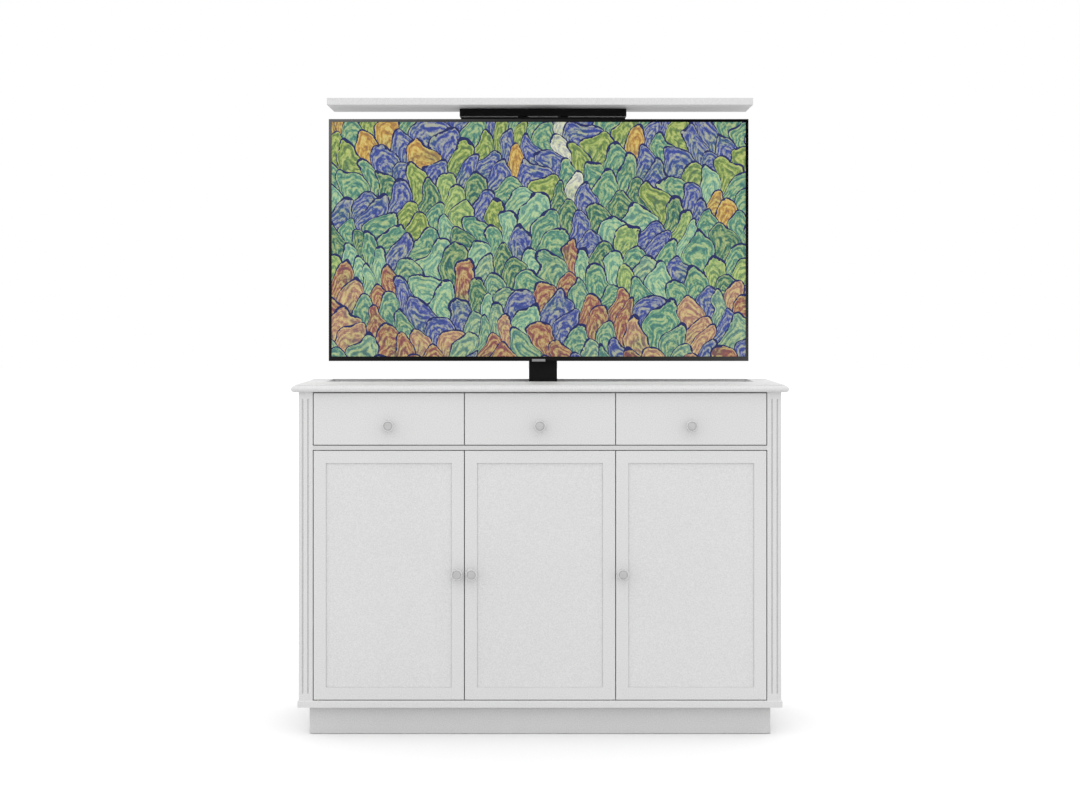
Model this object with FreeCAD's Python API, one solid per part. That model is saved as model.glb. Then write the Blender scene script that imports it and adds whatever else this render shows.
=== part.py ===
import FreeCAD, Part
import math
import os

# Television lift cabinet: a painted cabinet with three drawers over three doors, and behind them
# a well from which a telescopic column raises the television and the piece of the top that
# covers it. Millimetres, +X to the right, +Y to the back, +Z up. The origin is on the floor,
# under the centre of the top. The column stands raised, which is its rest position.

os.makedirs("parts", exist_ok=True)
V = FreeCAD.Vector

# ---------------------------------------------------------------- driving sizes

# Television
tv_width = 1230.0
tv_height = 709.0
tv_frame_depth = 14.0  # the frame and the display that it holds
tv_slim_depth = 26.0  # over everything, along the edges
tv_depth = 50.0  # over the hump of the rear cover
bezel_side = 8.5
bezel_top = 8.6
bezel_bottom = 13.3
screen_recess = 1.0  # display behind the face of the frame
screen_thickness = 10.0
cover_wall = 2.5
hump_side_margin = 160.0  # edge of the television to the hump
hump_bottom_margin = 35.0
hump_height = 520.0
cover_slope = 9.0  # the cover's edges lean in by this much
socket_bay_height = 150.0  # pocket for the sockets, in the side of the hump
socket_bay_depth = 38.0
socket_bay_rise = 120.0  # above the foot of the hump
socket_count = 4
socket_pitch = 30.0
socket_width = 6.0
socket_length = 15.0
tv_vent_count = 22
tv_vent_width = 5.0
tv_vent_height = 28.0
tv_vent_pitch = 16.0

# How the television, its lid and the column sit together
tv_offset = -4.0  # centre of the television, sideways
column_offset = 9.0  # centre of the column, sideways
tv_end_margin = 6.25  # lid beyond the television at each end
tv_front_setback = 27.0  # television behind the lid's front edge
tv_lid_gap = 39.0  # television's top to the lid's underside
well_floor_gap = 113.0  # lowered television above the cabinet floor
raised_gap = 59.0  # raised television above the top
lid_clearance = 2.0  # round the lid in its slot
edge_ease = 1.0  # rounding or chamfer of sharp edges

# Top
top_thickness = 20.0
top_overhang = 19.0  # rim beyond the posts, at the front and both ends
quirk_depth = 2.7  # step from the flat down to the bead
quirk_ledge = 1.7  # flat foot of that step
slot_end_margin = 32.0  # slot end to the inside of the side panel
slot_back_strip = 17.0  # top left behind the slot

# Plinth and base
plinth_height = 80.0
plinth_setback = 27.0
plinth_back_setback = 20.0
plinth_board = 18.0
corner_block = 45.0
corner_block_height = 58.0
base_thickness = 19.0
base_proud = 3.0
base_edge_radius = 3.0

# Levelling feet
foot_clearance = 1.5  # plinth above the floor
foot_radius = 18.0
foot_height = 9.0
foot_stem_radius = 4.0
foot_stem_fit = 0.2
foot_stem_gap = 1.0  # stem's end to the base

# Carcase
side_thickness = 18.0
front_bay_depth = 208.0  # front plane to the partition
partition_thickness = 12.0
back_thickness = 12.0
back_rebate = 15.0
back_joint = 1.0
access_half_width = 350.0
post_width = 39.2
post_depth = 40.0
post_edge_radius = 2.5
flute_width = 4.5
flute_pitch = 14.8
flute_inner_margin = 13.2  # inner face of the post to its nearer flute
flute_end_margin = 19.0
divider_thickness = 18.0
swing_gap = 1.3  # dividers and deck behind the sweep of a door's corner
rail_height = 12.0  # strip between the drawers and the doors
deck_thickness = 18.0
shelf_thickness = 18.0
shelf_setback = 46.0
shelf_height = 330.0  # above the cabinet floor
shelf_end_gap = 1.0
shelf_pin_radius = 2.5
shelf_pin_length = 16.0
shelf_pin_inset = 30.0

# Back details
outlet_radius = 30.0
outlet_x = 500.0
outlet_height = 90.0  # above the cabinet floor
fixing_radius = 2.75
fixing_x = 500.0
fixing_drop = 31.0  # below the underside of the top
vent_length = 120.0
vent_width = 8.0
vent_count = 4
vent_pitch = 24.0
vent_bottom = 60.0  # above the cabinet floor, and as far below the top

# Inset fronts
front_count = 3
reveal = 2.4  # gap round the doors, and between neighbours
top_reveal = 3.2  # gap between the drawers and the top
front_thickness = 20.0
drawer_front_height = 144.2
door_stile = 34.4
door_recess = 4.0  # panel behind the face of the frame
door_panel_thickness = 6.0
door_groove = 8.0
door_panel_play = 1.0  # panel's edge to the bottom of its groove

# Door pivots and catches
pivot_inset = 12.0  # from the door's edge
pivot_depth = 7.0  # behind the door's face
pivot_radius = 2.5
pivot_fit = 0.08  # running clearance of the pin in its bush
pivot_grip = 9.0  # pin let into the base and the rail
pivot_reach = 10.0  # pin inside the door
bush_wall = 1.4
bush_length = 12.0
washer_radius = 5.5
running_gap = 0.3  # between parts that pass each other
catch_width = 46.0
catch_height = 12.0
catch_depth = 14.0
catch_inset = 34.0  # centre of the catch from the door's free edge
strike_thickness = 1.5

# Knobs: radius and distance from the front, at the corners of the turned outline
knob_foot = (9.0, 0.0)
knob_neck = (5.6, 7.0)
knob_flare = (6.2, 13.0)
knob_swell = (14.6, 17.4)
knob_rim = (17.0, 21.6)
knob_roll = (16.2, 25.4)
knob_lip = (12.8, 28.0)
knob_dish = (11.0, 26.2)
drawer_knob_drop = 18.7  # below the middle of the drawer front
door_knob_height = 354.0  # above the cabinet floor
door_knob_inset = 19.0  # from the door's free edge

# Drawers
drawer_side = 12.0
drawer_bottom = 6.0
drawer_bottom_rise = 10.0
drawer_groove = 5.0
drawer_box_height = 105.0
drawer_box_rise = 8.0  # above the deck
drawer_back_gap = 10.0
runner_space = 12.7  # between the drawer and the wall of its bay
runner_height = 45.0
runner_metal = 1.5
runner_lip = 9.0
runner_end_gap = 2.0
packer_height = 60.0

# Column: three nested tubes
stage_wall = 3.0
stage_gap = 3.0  # between nested tubes
middle_x = 84.0
middle_y = 60.0
stage_corner = 5.0
stage_step = 27.5  # each tube's top above the next larger one, lowered
column_back_gap = 16.0  # column to the lid's rear edge
column_front_gap = 6.0  # hanger to the column
foot_plate_thickness = 6.0
foot_plate_x = 190.0
foot_plate_margin = 8.0
stage_foot_gap = 5.0
pad_length = 60.0
pad_share_margin = 14.0  # pad edges from the corners of the tube
pad_end_gap = 8.0

# Drive
gearbox_height = 45.0
gearbox_fit = 0.5
gearbox_neck = 30.0
motor_block = 64.0
motor_radius = 27.0
motor_length = 150.0
motor_edge = 3.0
screw_radius = 8.0
screw_fit = 0.2
screw_end_gap = 1.0
screw_reach = 25.0  # past the nut, raised
nut_height = 20.0
nut_clearance = 5.0

# Head, hanger and television bracket
head_thickness = 6.0
head_x = 120.0
hanger_thickness = 4.0
bracket_rail_thickness = 3.0
bracket_rail_height = 40.0
bracket_rail_length = 470.0
bracket_rail_spacing = 240.0
bracket_arm_depth = 12.0
bracket_arm_width = 36.0
bracket_arm_length = 430.0
bracket_arm_metal = 3.0
vesa_pitch = 400.0
hanger_below = 40.0  # hanger below the lower rail's middle

# Lid carrier
support_length = 488.0
support_height = 14.0
support_metal = 3.0
carrier_depth = 64.0
buffer_radius = 10.0
buffer_height = 3.0
buffer_spacing = 126.0
buffer_inset = 12.0
lid_bracket_length = 496.0
lid_bracket_height = 22.0
lid_bracket_wall = 2.5

# Control box
control_length = 220.0
control_depth = 62.0
control_height = 44.0
control_x = -430.0
control_lip = 10.0
inlet_width = 28.0
inlet_height = 20.0
inlet_depth = 16.0
control_edge = 2.0

# ---------------------------------------------------------------- derived places

outer_x = middle_x + 2 * (stage_gap + stage_wall)
outer_y = middle_y + 2 * (stage_gap + stage_wall)
inner_x = middle_x - 2 * (stage_gap + stage_wall)
inner_y = middle_y - 2 * (stage_gap + stage_wall)
mount_space = bracket_arm_depth + bracket_rail_thickness + hanger_thickness + column_front_gap

lid_width = tv_width + 2 * tv_end_margin
lid_depth = tv_front_setback + tv_depth + mount_space + outer_y + column_back_gap
slot_half = lid_width / 2 + lid_clearance
slot_depth = lid_depth + 2 * lid_clearance

body_half = slot_half + slot_end_margin + side_thickness
side_inner = body_half - side_thickness
opening_half = body_half - post_width
top_depth = top_overhang + front_bay_depth + partition_thickness + slot_depth + slot_back_strip

front_y = top_overhang - top_depth / 2
back_y = top_depth / 2
fronts_back = front_y + front_thickness
corner_sweep = math.hypot(pivot_inset, front_thickness - pivot_depth)
dividers_front = front_y + pivot_depth + corner_sweep + swing_gap
slot_back = back_y - slot_back_strip
slot_front = slot_back - slot_depth
partition_front = slot_front - partition_thickness
back_inner = back_y - back_thickness

floor_z = plinth_height + base_thickness
cabinet_height = floor_z + well_floor_gap + tv_height + tv_lid_gap + top_thickness
top_under = cabinet_height - top_thickness
drawer_top = top_under - top_reveal
drawer_foot = drawer_top - drawer_front_height
rail_top = drawer_foot - reveal
rail_foot = rail_top - rail_height
door_top = rail_foot - reveal
door_foot = floor_z + reveal
deck_foot = (rail_top + rail_foot - deck_thickness) / 2
deck_top = deck_foot + deck_thickness

front_width = (2 * opening_half - (front_count + 1) * reveal) / front_count
front_starts = [
    -opening_half + reveal + place * (front_width + reveal) for place in range(front_count)
]
seams = [start - reveal / 2 for start in front_starts[1:]]

lid_front = slot_front + lid_clearance
tv_front = lid_front + tv_front_setback
tv_back = tv_front + tv_depth
hanger_front = tv_back + bracket_arm_depth + bracket_rail_thickness
hanger_back = hanger_front + hanger_thickness
column_y = hanger_back + column_front_gap + outer_y / 2

lift_travel = raised_gap + tv_height + tv_lid_gap + top_thickness
lid_under = top_under + lift_travel
tv_top = lid_under - tv_lid_gap
tv_foot = tv_top - tv_height
hump_foot = tv_foot + hump_bottom_margin
vesa_z = hump_foot + hump_height / 2

lid_bracket_foot = lid_under - lid_bracket_height
support_top = lid_bracket_foot - buffer_height
head_top = support_top - support_height
inner_top = head_top - head_thickness
middle_top = inner_top - lift_travel - stage_step + lift_travel / 2
outer_top = inner_top - lift_travel - 2 * stage_step
foot_plate_top = floor_z + foot_plate_thickness
gearbox_top = foot_plate_top + gearbox_height
middle_foot = gearbox_top + stage_foot_gap + lift_travel / 2
nut_top = middle_foot + nut_height
inner_foot = nut_top + nut_clearance + lift_travel / 2


# ---------------------------------------------------------------- small helpers


def board(x0, x1, y0, y1, z0, z1):
    """A rectangular solid between pairs of x, y and z limits."""
    return Part.makeBox(x1 - x0, y1 - y0, z1 - z0, V(x0, y0, z0))


def mirrored(shape):
    """The shape's twin across the cabinet's centre plane."""
    return shape.mirror(V(0, 0, 0), V(1, 0, 0))


def swept(outline, path):
    """A closed outline of points swept along a vector."""
    return Part.Face(Part.makePolygon(outline + outline[:1])).extrude(path)


def lies_on(edge, axis, value):
    """True if an edge lies in the plane where that coordinate has that value."""
    tolerance = 1e-6
    return all(abs(getattr(v.Point, axis) - value) < tolerance for v in edge.Vertexes)


def eased(shape, radius, face_axis, face_value, rims=()):
    """Rounds a face's edges: all of them, or only those that also lie on one of the rims."""
    edges = [edge for edge in shape.Edges if lies_on(edge, face_axis, face_value)]
    if rims:
        edges = [edge for edge in edges if any(lies_on(edge, *rim) for rim in rims)]
    return shape.makeFillet(radius, edges)


def chamfered(shape, size, face_axis, face_value):
    """Cuts a chamfer along a face's edges."""
    edges = [edge for edge in shape.Edges if lies_on(edge, face_axis, face_value)]
    return shape.makeChamfer(size, edges)


def save(node, *solids):
    """Writes one named piece, or a group of like ones, to its own file."""
    shape = solids[0] if len(solids) == 1 else Part.makeCompound(list(solids))
    shape.exportStep("parts/" + node + ".step")


# ---------------------------------------------------------------- top, base and plinth


def rim(place):
    """The moulded rim's lines: a step down from the flat, a ledge, and a half-round bead.

    place(inset, z) is the point that lies inset from the outermost line at that height.
    """
    ledge_z = cabinet_height - quirk_depth
    bead = (ledge_z - top_under) / 2
    flat_edge = place(bead + quirk_ledge, cabinet_height)
    step_foot = place(bead + quirk_ledge, ledge_z)
    bead_start = place(bead, ledge_z)
    bead_end = place(bead, top_under)
    return [
        Part.LineSegment(flat_edge, step_foot),
        Part.LineSegment(step_foot, bead_start),
        Part.Arc(bead_start, place(0, top_under + bead), bead_end),
    ]


def closed_face(curves, joins):
    """A face from runs of curves and the corner points that close the outline."""
    edges = [curve.toShape() for curve in curves]
    edges += [Part.LineSegment(start, end).toShape() for start, end in joins]
    return Part.Face(Part.Wire(Part.__sortEdges__(edges)))


def top_slab():
    """The top: its rim runs round three sides and mitres at the corners, and a slot takes the lid."""
    half = body_half + top_overhang
    nose_y = front_y - top_overhang
    front = rim(lambda inset, z: V(-half, nose_y + inset, z))
    back_top = V(-half, back_y, cabinet_height)
    back_foot = V(-half, back_y, top_under)
    front_joins = [
        (front[-1].EndPoint, back_foot),
        (back_foot, back_top),
        (back_top, front[0].StartPoint),
    ]
    along_x = closed_face(front, front_joins).extrude(V(2 * half, 0, 0))
    left = rim(lambda inset, z: V(-half + inset, nose_y, z))
    right = rim(lambda inset, z: V(half - inset, nose_y, z))
    end_joins = [
        (left[0].StartPoint, right[0].StartPoint),
        (left[-1].EndPoint, right[-1].EndPoint),
    ]
    along_y = closed_face(left + right, end_joins).extrude(V(0, top_depth, 0))
    slot = board(-slot_half, slot_half, slot_front, slot_back, top_under, cabinet_height)
    return along_x.common(along_y).cut(slot)


def base_panel():
    """The board under the carcase, a little proud of it, with a rounded upper edge."""
    half = body_half + base_proud
    front = front_y - base_proud
    panel = board(-half, half, front, back_y, plinth_height, floor_z)
    rims = (("y", front), ("x", -half), ("x", half))
    panel = eased(panel, base_edge_radius, "z", floor_z, rims)
    for x in pivot_places():
        hole = Part.makeCylinder(pivot_radius, pivot_grip, V(x, pivot_y(), floor_z - pivot_grip))
        panel = panel.cut(hole)
    return panel


def plinth():
    """Four boards, and a block in each corner that holds a levelling foot."""
    half = body_half - plinth_setback
    front = front_y + plinth_setback
    back = back_y - plinth_back_setback
    inner = half - plinth_board
    inner_front = front + plinth_board
    inner_back = back - plinth_board
    face = board(-half, half, front, inner_front, foot_clearance, plinth_height)
    face = eased(face, edge_ease, "y", front, (("x", -half), ("x", half)))
    rear = board(-half, half, inner_back, back, foot_clearance, plinth_height)
    end = board(inner, half, inner_front, inner_back, foot_clearance, plinth_height)
    pieces = [face, rear, end, mirrored(end)]
    block_foot = plinth_height - corner_block_height
    for y in foot_rows():
        y0 = inner_front if y < 0 else inner_back - corner_block
        block = board(inner - corner_block, inner, y0, y0 + corner_block, block_foot, plinth_height)
        radius = foot_stem_radius + foot_stem_fit
        hole = Part.makeCylinder(radius, corner_block_height, V(foot_x(), y, block_foot))
        block = block.cut(hole)
        pieces += [block, mirrored(block)]
    return pieces


def foot_x():
    """Distance of the levelling feet from the centre plane."""
    return body_half - plinth_setback - plinth_board - corner_block / 2


def foot_rows():
    """The two rows of levelling feet, front and back."""
    front = front_y + plinth_setback + plinth_board + corner_block / 2
    back = back_y - plinth_back_setback - plinth_board - corner_block / 2
    return [front, back]


def levelling_foot(y):
    """A round foot with a threaded stem, screwed up into its corner block."""
    disc = Part.makeCylinder(foot_radius, foot_height, V(foot_x(), y, 0))
    stem_length = plinth_height - foot_height - foot_stem_gap
    stem = Part.makeCylinder(foot_stem_radius, stem_length, V(foot_x(), y, foot_height))
    return disc.fuse(stem).removeSplitter()


# ---------------------------------------------------------------- carcase


def side_panel():
    """The right side, from the corner post to the wall side."""
    side = board(side_inner, body_half, front_y + post_depth, back_y, floor_z, top_under)
    for x, z in shelf_pin_ends():
        if x > 0 and abs(x - side_inner) < side_thickness:
            for y in shelf_pin_rows():
                grip = shelf_pin_length / 2
                side = side.cut(Part.makeCylinder(shelf_pin_radius, grip, V(x, y, z), V(1, 0, 0)))
    return side


def fluted_post():
    """The right corner post, with two stopped half-round flutes in its face."""
    post = board(opening_half, body_half, front_y, front_y + post_depth, floor_z, top_under)
    corner = [e for e in post.Edges if lies_on(e, "x", body_half) and lies_on(e, "y", front_y)]
    post = post.makeFillet(post_edge_radius, corner)
    radius = flute_width / 2
    foot = floor_z + flute_end_margin + radius
    length = top_under - flute_end_margin - radius - foot
    for x in (opening_half + flute_inner_margin, opening_half + flute_inner_margin + flute_pitch):
        groove = Part.makeCylinder(radius, length, V(x, front_y, foot))
        for z in (foot, foot + length):
            groove = groove.fuse(Part.makeSphere(radius, V(x, front_y, z)))
        post = post.cut(groove)
    return post


def lift_partition():
    """The wall between the drawers and cupboards in front and the well behind."""
    return board(-side_inner, side_inner, partition_front, slot_front, floor_z, top_under)


def upright(x, z0, z1):
    """A divider on a seam between two fronts."""
    half = divider_thickness / 2
    return board(x - half, x + half, dividers_front, partition_front, z0, z1)


def dividers():
    """One divider between the cupboards, and one between each two drawers."""
    bay = upright(seams[-1], floor_z, deck_foot)
    for x, z in shelf_pin_ends():
        if abs(x - seams[-1]) < divider_thickness:
            outward = 1 if x < seams[-1] else -1
            for y in shelf_pin_rows():
                grip = shelf_pin_length / 2
                hole = Part.makeCylinder(shelf_pin_radius, grip, V(x, y, z), V(outward, 0, 0))
                bay = bay.cut(hole)
    return [bay] + [upright(x, deck_top, top_under) for x in seams]


def drawer_deck():
    """The board that carries the drawers, with a thinner nose that shows as the rail in front."""
    behind_posts = front_y + post_depth
    nose = board(-opening_half, opening_half, front_y, dividers_front, rail_foot, rail_top)
    between = board(
        -opening_half, opening_half, dividers_front, partition_front, deck_foot, deck_top
    )
    behind = board(-side_inner, side_inner, behind_posts, partition_front, deck_foot, deck_top)
    deck = nose.fuse(between).fuse(behind).removeSplitter()
    for x in pivot_places():
        hole = Part.makeCylinder(pivot_radius, pivot_grip, V(x, pivot_y(), rail_foot))
        deck = deck.cut(hole)
    return deck


def shelf_bays():
    """Left and right limits of the wide cupboard and of the single one."""
    half = divider_thickness / 2
    return [(-side_inner, seams[-1] - half), (seams[-1] + half, side_inner)]


def shelves():
    """A loose shelf in each cupboard."""
    foot = floor_z + shelf_height
    return [
        board(
            left + shelf_end_gap,
            right - shelf_end_gap,
            front_y + shelf_setback,
            partition_front - shelf_end_gap,
            foot,
            foot + shelf_thickness,
        )
        for left, right in shelf_bays()
    ]


def shelf_pin_ends():
    """Where the pins leave the walls of the cupboards: x, and the height of their axes."""
    z = floor_z + shelf_height - shelf_pin_radius
    return [(x, z) for bay in shelf_bays() for x in bay]


def shelf_pin_rows():
    """Front and back row of shelf pins."""
    front = front_y + shelf_setback + shelf_pin_inset
    back = partition_front - shelf_end_gap - shelf_pin_inset
    return [front, back]


def shelf_pins():
    """Round pins, half in the wall and half under the shelf."""
    return [
        Part.makeCylinder(
            shelf_pin_radius,
            shelf_pin_length,
            V(x - shelf_pin_length / 2, y, z),
            V(1, 0, 0),
        )
        for x, z in shelf_pin_ends()
        for y in shelf_pin_rows()
    ]


def slotted(x, z, length, width):
    """A round-ended slot through the back, lying along X."""
    radius = width / 2
    ends = (x - length / 2 + radius, x + length / 2 - radius)
    slot = board(*ends, back_inner, back_y, z - radius, z + radius)
    for end in ends:
        at = V(end, back_inner, z)
        slot = slot.fuse(Part.makeCylinder(radius, back_thickness, at, V(0, 1, 0)))
    return slot


def fixed_back(outlet):
    """The right fixed part of the back, with a lip behind the access panel and a fixing hole."""
    step = back_inner + back_thickness / 2
    full = board(access_half_width, side_inner, back_inner, back_y, floor_z, top_under)
    lip = board(
        access_half_width - back_rebate, access_half_width, back_inner, step, floor_z, top_under
    )
    back = full.fuse(lip).removeSplitter()
    along = V(0, 1, 0)
    fixing = V(fixing_x, back_inner, top_under - fixing_drop)
    back = back.cut(Part.makeCylinder(fixing_radius, back_thickness, fixing, along))
    if outlet:
        hole = V(outlet_x, back_inner, floor_z + outlet_height)
        back = back.cut(Part.makeCylinder(outlet_radius, back_thickness, hole, along))
    return back


def access_panel():
    """The removable middle of the back, with two banks of vents."""
    half = access_half_width - back_joint
    step = back_inner + back_thickness / 2
    inner_half = half - back_rebate
    outer = board(-half, half, step, back_y, floor_z, top_under)
    inner = board(-inner_half, inner_half, back_inner, step, floor_z, top_under)
    panel = outer.fuse(inner).removeSplitter()
    for row in range(vent_count):
        rise = vent_bottom + row * vent_pitch
        for z in (floor_z + rise, top_under - rise):
            panel = panel.cut(slotted(0, z, vent_length, vent_width))
    return panel


# ---------------------------------------------------------------- doors


def pivot_y():
    """Depth of the pivot line behind the front plane."""
    return front_y + pivot_depth


def hinge_sides():
    """Each door's hinge side: the first hangs on its left edge, the others on their right."""
    return [-1] + [1] * (front_count - 1)


def pivot_x(place):
    """Where the pivot line of that door stands."""
    left = front_starts[place]
    if hinge_sides()[place] < 0:
        return left + pivot_inset
    return left + front_width - pivot_inset


def pivot_places():
    """The pivot lines of all the doors."""
    return [pivot_x(place) for place in range(front_count)]


def pivot_pins():
    """Pins that the doors turn on: let into the base with a washer, and into the rail."""
    pins = []
    for x in pivot_places():
        low = Part.makeCylinder(
            pivot_radius, pivot_grip + reveal + pivot_reach, V(x, pivot_y(), floor_z - pivot_grip)
        )
        washer = Part.makeCylinder(washer_radius, reveal - running_gap, V(x, pivot_y(), floor_z))
        pins.append(low.fuse(washer).removeSplitter())
        foot = rail_foot - reveal - pivot_reach
        pins.append(
            Part.makeCylinder(pivot_radius, pivot_reach + reveal + pivot_grip, V(x, pivot_y(), foot))
        )
    return pins


def groove_depths():
    """Front and back of the groove that holds a door's panel."""
    front = front_y + door_recess
    return front, front + door_panel_thickness


def door_frame(place):
    """Two stiles and two rails, grooved for the panel, the rails tongued into the stiles."""
    left = front_starts[place]
    right = left + front_width
    groove_front, groove_back = groove_depths()
    bore = pivot_radius + pivot_fit + bush_wall
    outer_rims = (("x", left), ("x", right), ("z", door_foot), ("z", door_top))
    pieces = []
    for x, inward in ((left, 1), (right, -1)):
        inner = x + inward * door_stile
        bottom = inner - inward * door_groove
        stile = board(min(x, inner), max(x, inner), front_y, fronts_back, door_foot, door_top)
        stile = eased(stile, edge_ease, "y", front_y, (("x", x),) + outer_rims[2:])
        x0, x1 = sorted((inner, bottom))
        stile = stile.cut(board(x0, x1, groove_front, groove_back, door_foot, door_top))
        if inward != hinge_sides()[place]:
            for z in (door_foot, door_top - bush_length):
                hole = Part.makeCylinder(bore, bush_length, V(pivot_x(place), pivot_y(), z))
                stile = stile.cut(hole)
        pieces.append(stile)
    rail_left = left + door_stile
    rail_right = right - door_stile
    for z, upward in ((door_foot, 1), (door_top, -1)):
        inner = z + upward * door_stile
        bottom = inner - upward * door_groove
        z0, z1 = sorted((z, inner))
        rail = board(rail_left, rail_right, front_y, fronts_back, z0, z1)
        rail = eased(rail, edge_ease, "y", front_y, (("z", z),))
        g0, g1 = sorted((inner, bottom))
        rail = rail.cut(board(rail_left, rail_right, groove_front, groove_back, g0, g1))
        t0, t1 = sorted((z, bottom))
        for x0, x1 in (
            (rail_left - door_groove, rail_left),
            (rail_right, rail_right + door_groove),
        ):
            rail = rail.fuse(board(x0, x1, groove_front, groove_back, t0, t1))
        pieces.append(rail.removeSplitter())
    return pieces


def door_panel(place):
    """The flat panel, held in the grooves of its frame."""
    reach = door_groove - door_panel_play
    inset = door_stile - reach
    left = front_starts[place]
    groove_front, groove_back = groove_depths()
    return board(
        left + inset,
        left + front_width - inset,
        groove_front,
        groove_back,
        door_foot + inset,
        door_top - inset,
    )


def free_edge(place):
    """The door's free edge, and the direction from it into the door."""
    left = front_starts[place]
    if hinge_sides()[place] < 0:
        return left + front_width, -1
    return left, 1


def door_fittings(place):
    """Bushes for the pivot pins, and the strike plate of the catch."""
    fittings = []
    for z in (door_foot, door_top - bush_length):
        at = V(pivot_x(place), pivot_y(), z)
        ring = Part.makeCylinder(pivot_radius + pivot_fit + bush_wall, bush_length, at)
        fittings.append(ring.cut(Part.makeCylinder(pivot_radius + pivot_fit, bush_length, at)))
    edge, inward = free_edge(place)
    x = edge + inward * catch_inset
    foot = deck_foot - catch_height
    half = catch_width / 2 - catch_depth / 2
    fittings.append(
        board(x - half, x + half, fronts_back, fronts_back + strike_thickness, foot, deck_foot)
    )
    return fittings


def door_catch(place):
    """The magnetic catch, under the deck behind the door's free corner."""
    edge, inward = free_edge(place)
    x = edge + inward * catch_inset
    front = fronts_back + strike_thickness + running_gap
    half = catch_width / 2
    body = board(x - half, x + half, front, front + catch_depth, deck_foot - catch_height, deck_foot)
    return eased(body, edge_ease, "y", front, (("x", x - half), ("x", x + half)))


def knob(x, z):
    """A turned knob: foot, waisted neck, rolled rim and a shallow dish in its face."""

    def at(place):
        radius, out = place
        return V(x + radius, front_y - out, z)

    corners = [knob_foot, knob_neck, knob_flare, knob_swell, knob_rim, knob_roll, knob_lip, knob_dish]
    outline = [at((0, 0)), *[at(corner) for corner in corners], at((0, knob_dish[1])), at((0, 0))]
    return Part.Face(Part.makePolygon(outline)).revolve(at((0, 0)), V(0, 1, 0), 360)


# ---------------------------------------------------------------- drawers


def drawer_bay(place):
    """Left and right walls of a drawer's bay."""
    half = divider_thickness / 2
    left = -opening_half if place == 0 else seams[place - 1] + half
    right = opening_half if place == front_count - 1 else seams[place] - half
    return left, right


def drawer_front(place):
    """The painted front board."""
    left = front_starts[place]
    front = board(left, left + front_width, front_y, fronts_back, drawer_foot, drawer_top)
    return eased(front, edge_ease, "y", front_y)


def drawer_levels():
    """Foot and top of the drawer box."""
    foot = deck_top + drawer_box_rise
    return foot, foot + drawer_box_height


def drawer_box(place):
    """Two sides, a front and a back, grooved for the bottom board."""
    bay_left, bay_right = drawer_bay(place)
    left = bay_left + runner_space
    right = bay_right - runner_space
    back = partition_front - drawer_back_gap
    foot, top = drawer_levels()
    inner_left = left + drawer_side
    inner_right = right - drawer_side
    inner_front = fronts_back + drawer_side
    inner_back = back - drawer_side
    bottom = board(
        inner_left - drawer_groove,
        inner_right + drawer_groove,
        inner_front - drawer_groove,
        inner_back + drawer_groove,
        foot + drawer_bottom_rise,
        foot + drawer_bottom_rise + drawer_bottom,
    )
    walls = [
        board(left, inner_left, fronts_back, back, foot, top),
        board(inner_right, right, fronts_back, back, foot, top),
        board(inner_left, inner_right, fronts_back, inner_front, foot, top),
        board(inner_left, inner_right, inner_back, back, foot, top),
    ]
    return [wall.cut(bottom) for wall in walls] + [bottom]


def channel(wall_x, outward, depth, height):
    """A C-shaped runner rail: its web lies on wall_x and its lips point outward."""
    y0, y1 = runner_span()
    foot, top = drawer_levels()
    z = (foot + top) / 2
    half = height / 2
    web = wall_x + outward * runner_metal
    end = wall_x + outward * depth
    outline = [
        V(wall_x, y0, z - half),
        V(end, y0, z - half),
        V(end, y0, z - half + runner_metal),
        V(web, y0, z - half + runner_metal),
        V(web, y0, z + half - runner_metal),
        V(end, y0, z + half - runner_metal),
        V(end, y0, z + half),
        V(wall_x, y0, z + half),
    ]
    return swept(outline, V(0, y1 - y0, 0))


def runner_span():
    """Front and back ends of the runners."""
    front = fronts_back + runner_end_gap
    return front, partition_front - drawer_back_gap - runner_end_gap


def cabinet_runners(place):
    """The fixed rails on both walls of a drawer's bay."""
    left, right = drawer_bay(place)
    depth = runner_metal + runner_lip
    return [channel(left, 1, depth, runner_height), channel(right, -1, depth, runner_height)]


def drawer_runners(place):
    """The moving rails, on both sides of the drawer and inside the fixed ones."""
    left, right = drawer_bay(place)
    depth = runner_space - runner_metal - running_gap
    height = runner_height - 2 * (runner_metal + running_gap)
    return [
        channel(left + runner_space, -1, depth, height),
        channel(right - runner_space, 1, depth, height),
    ]


def runner_packer():
    """Brings the right outer runner in line with the post's inner face."""
    foot, top = drawer_levels()
    z = (foot + top) / 2
    half = packer_height / 2
    front = front_y + post_depth
    return board(opening_half, side_inner, front, partition_front, z - half, z + half)


# ---------------------------------------------------------------- lifting column


def bar(size_x, size_y, corner, z0, z1):
    """An upright bar on the column's axis with rounded corners."""
    x0 = column_offset - size_x / 2
    y0 = column_y - size_y / 2
    solid = board(x0, x0 + size_x, y0, y0 + size_y, z0, z1)
    uprights = [e for e in solid.Edges if abs(e.Vertexes[0].Z - e.Vertexes[-1].Z) > corner]
    return solid.makeFillet(corner, uprights)


def tube(size_x, size_y, z0, z1):
    """One hollow stage of the column."""
    bore_corner = stage_corner - stage_wall
    bore = bar(size_x - 2 * stage_wall, size_y - 2 * stage_wall, bore_corner, z0, z1)
    return bar(size_x, size_y, stage_corner, z0, z1).cut(bore)


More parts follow.
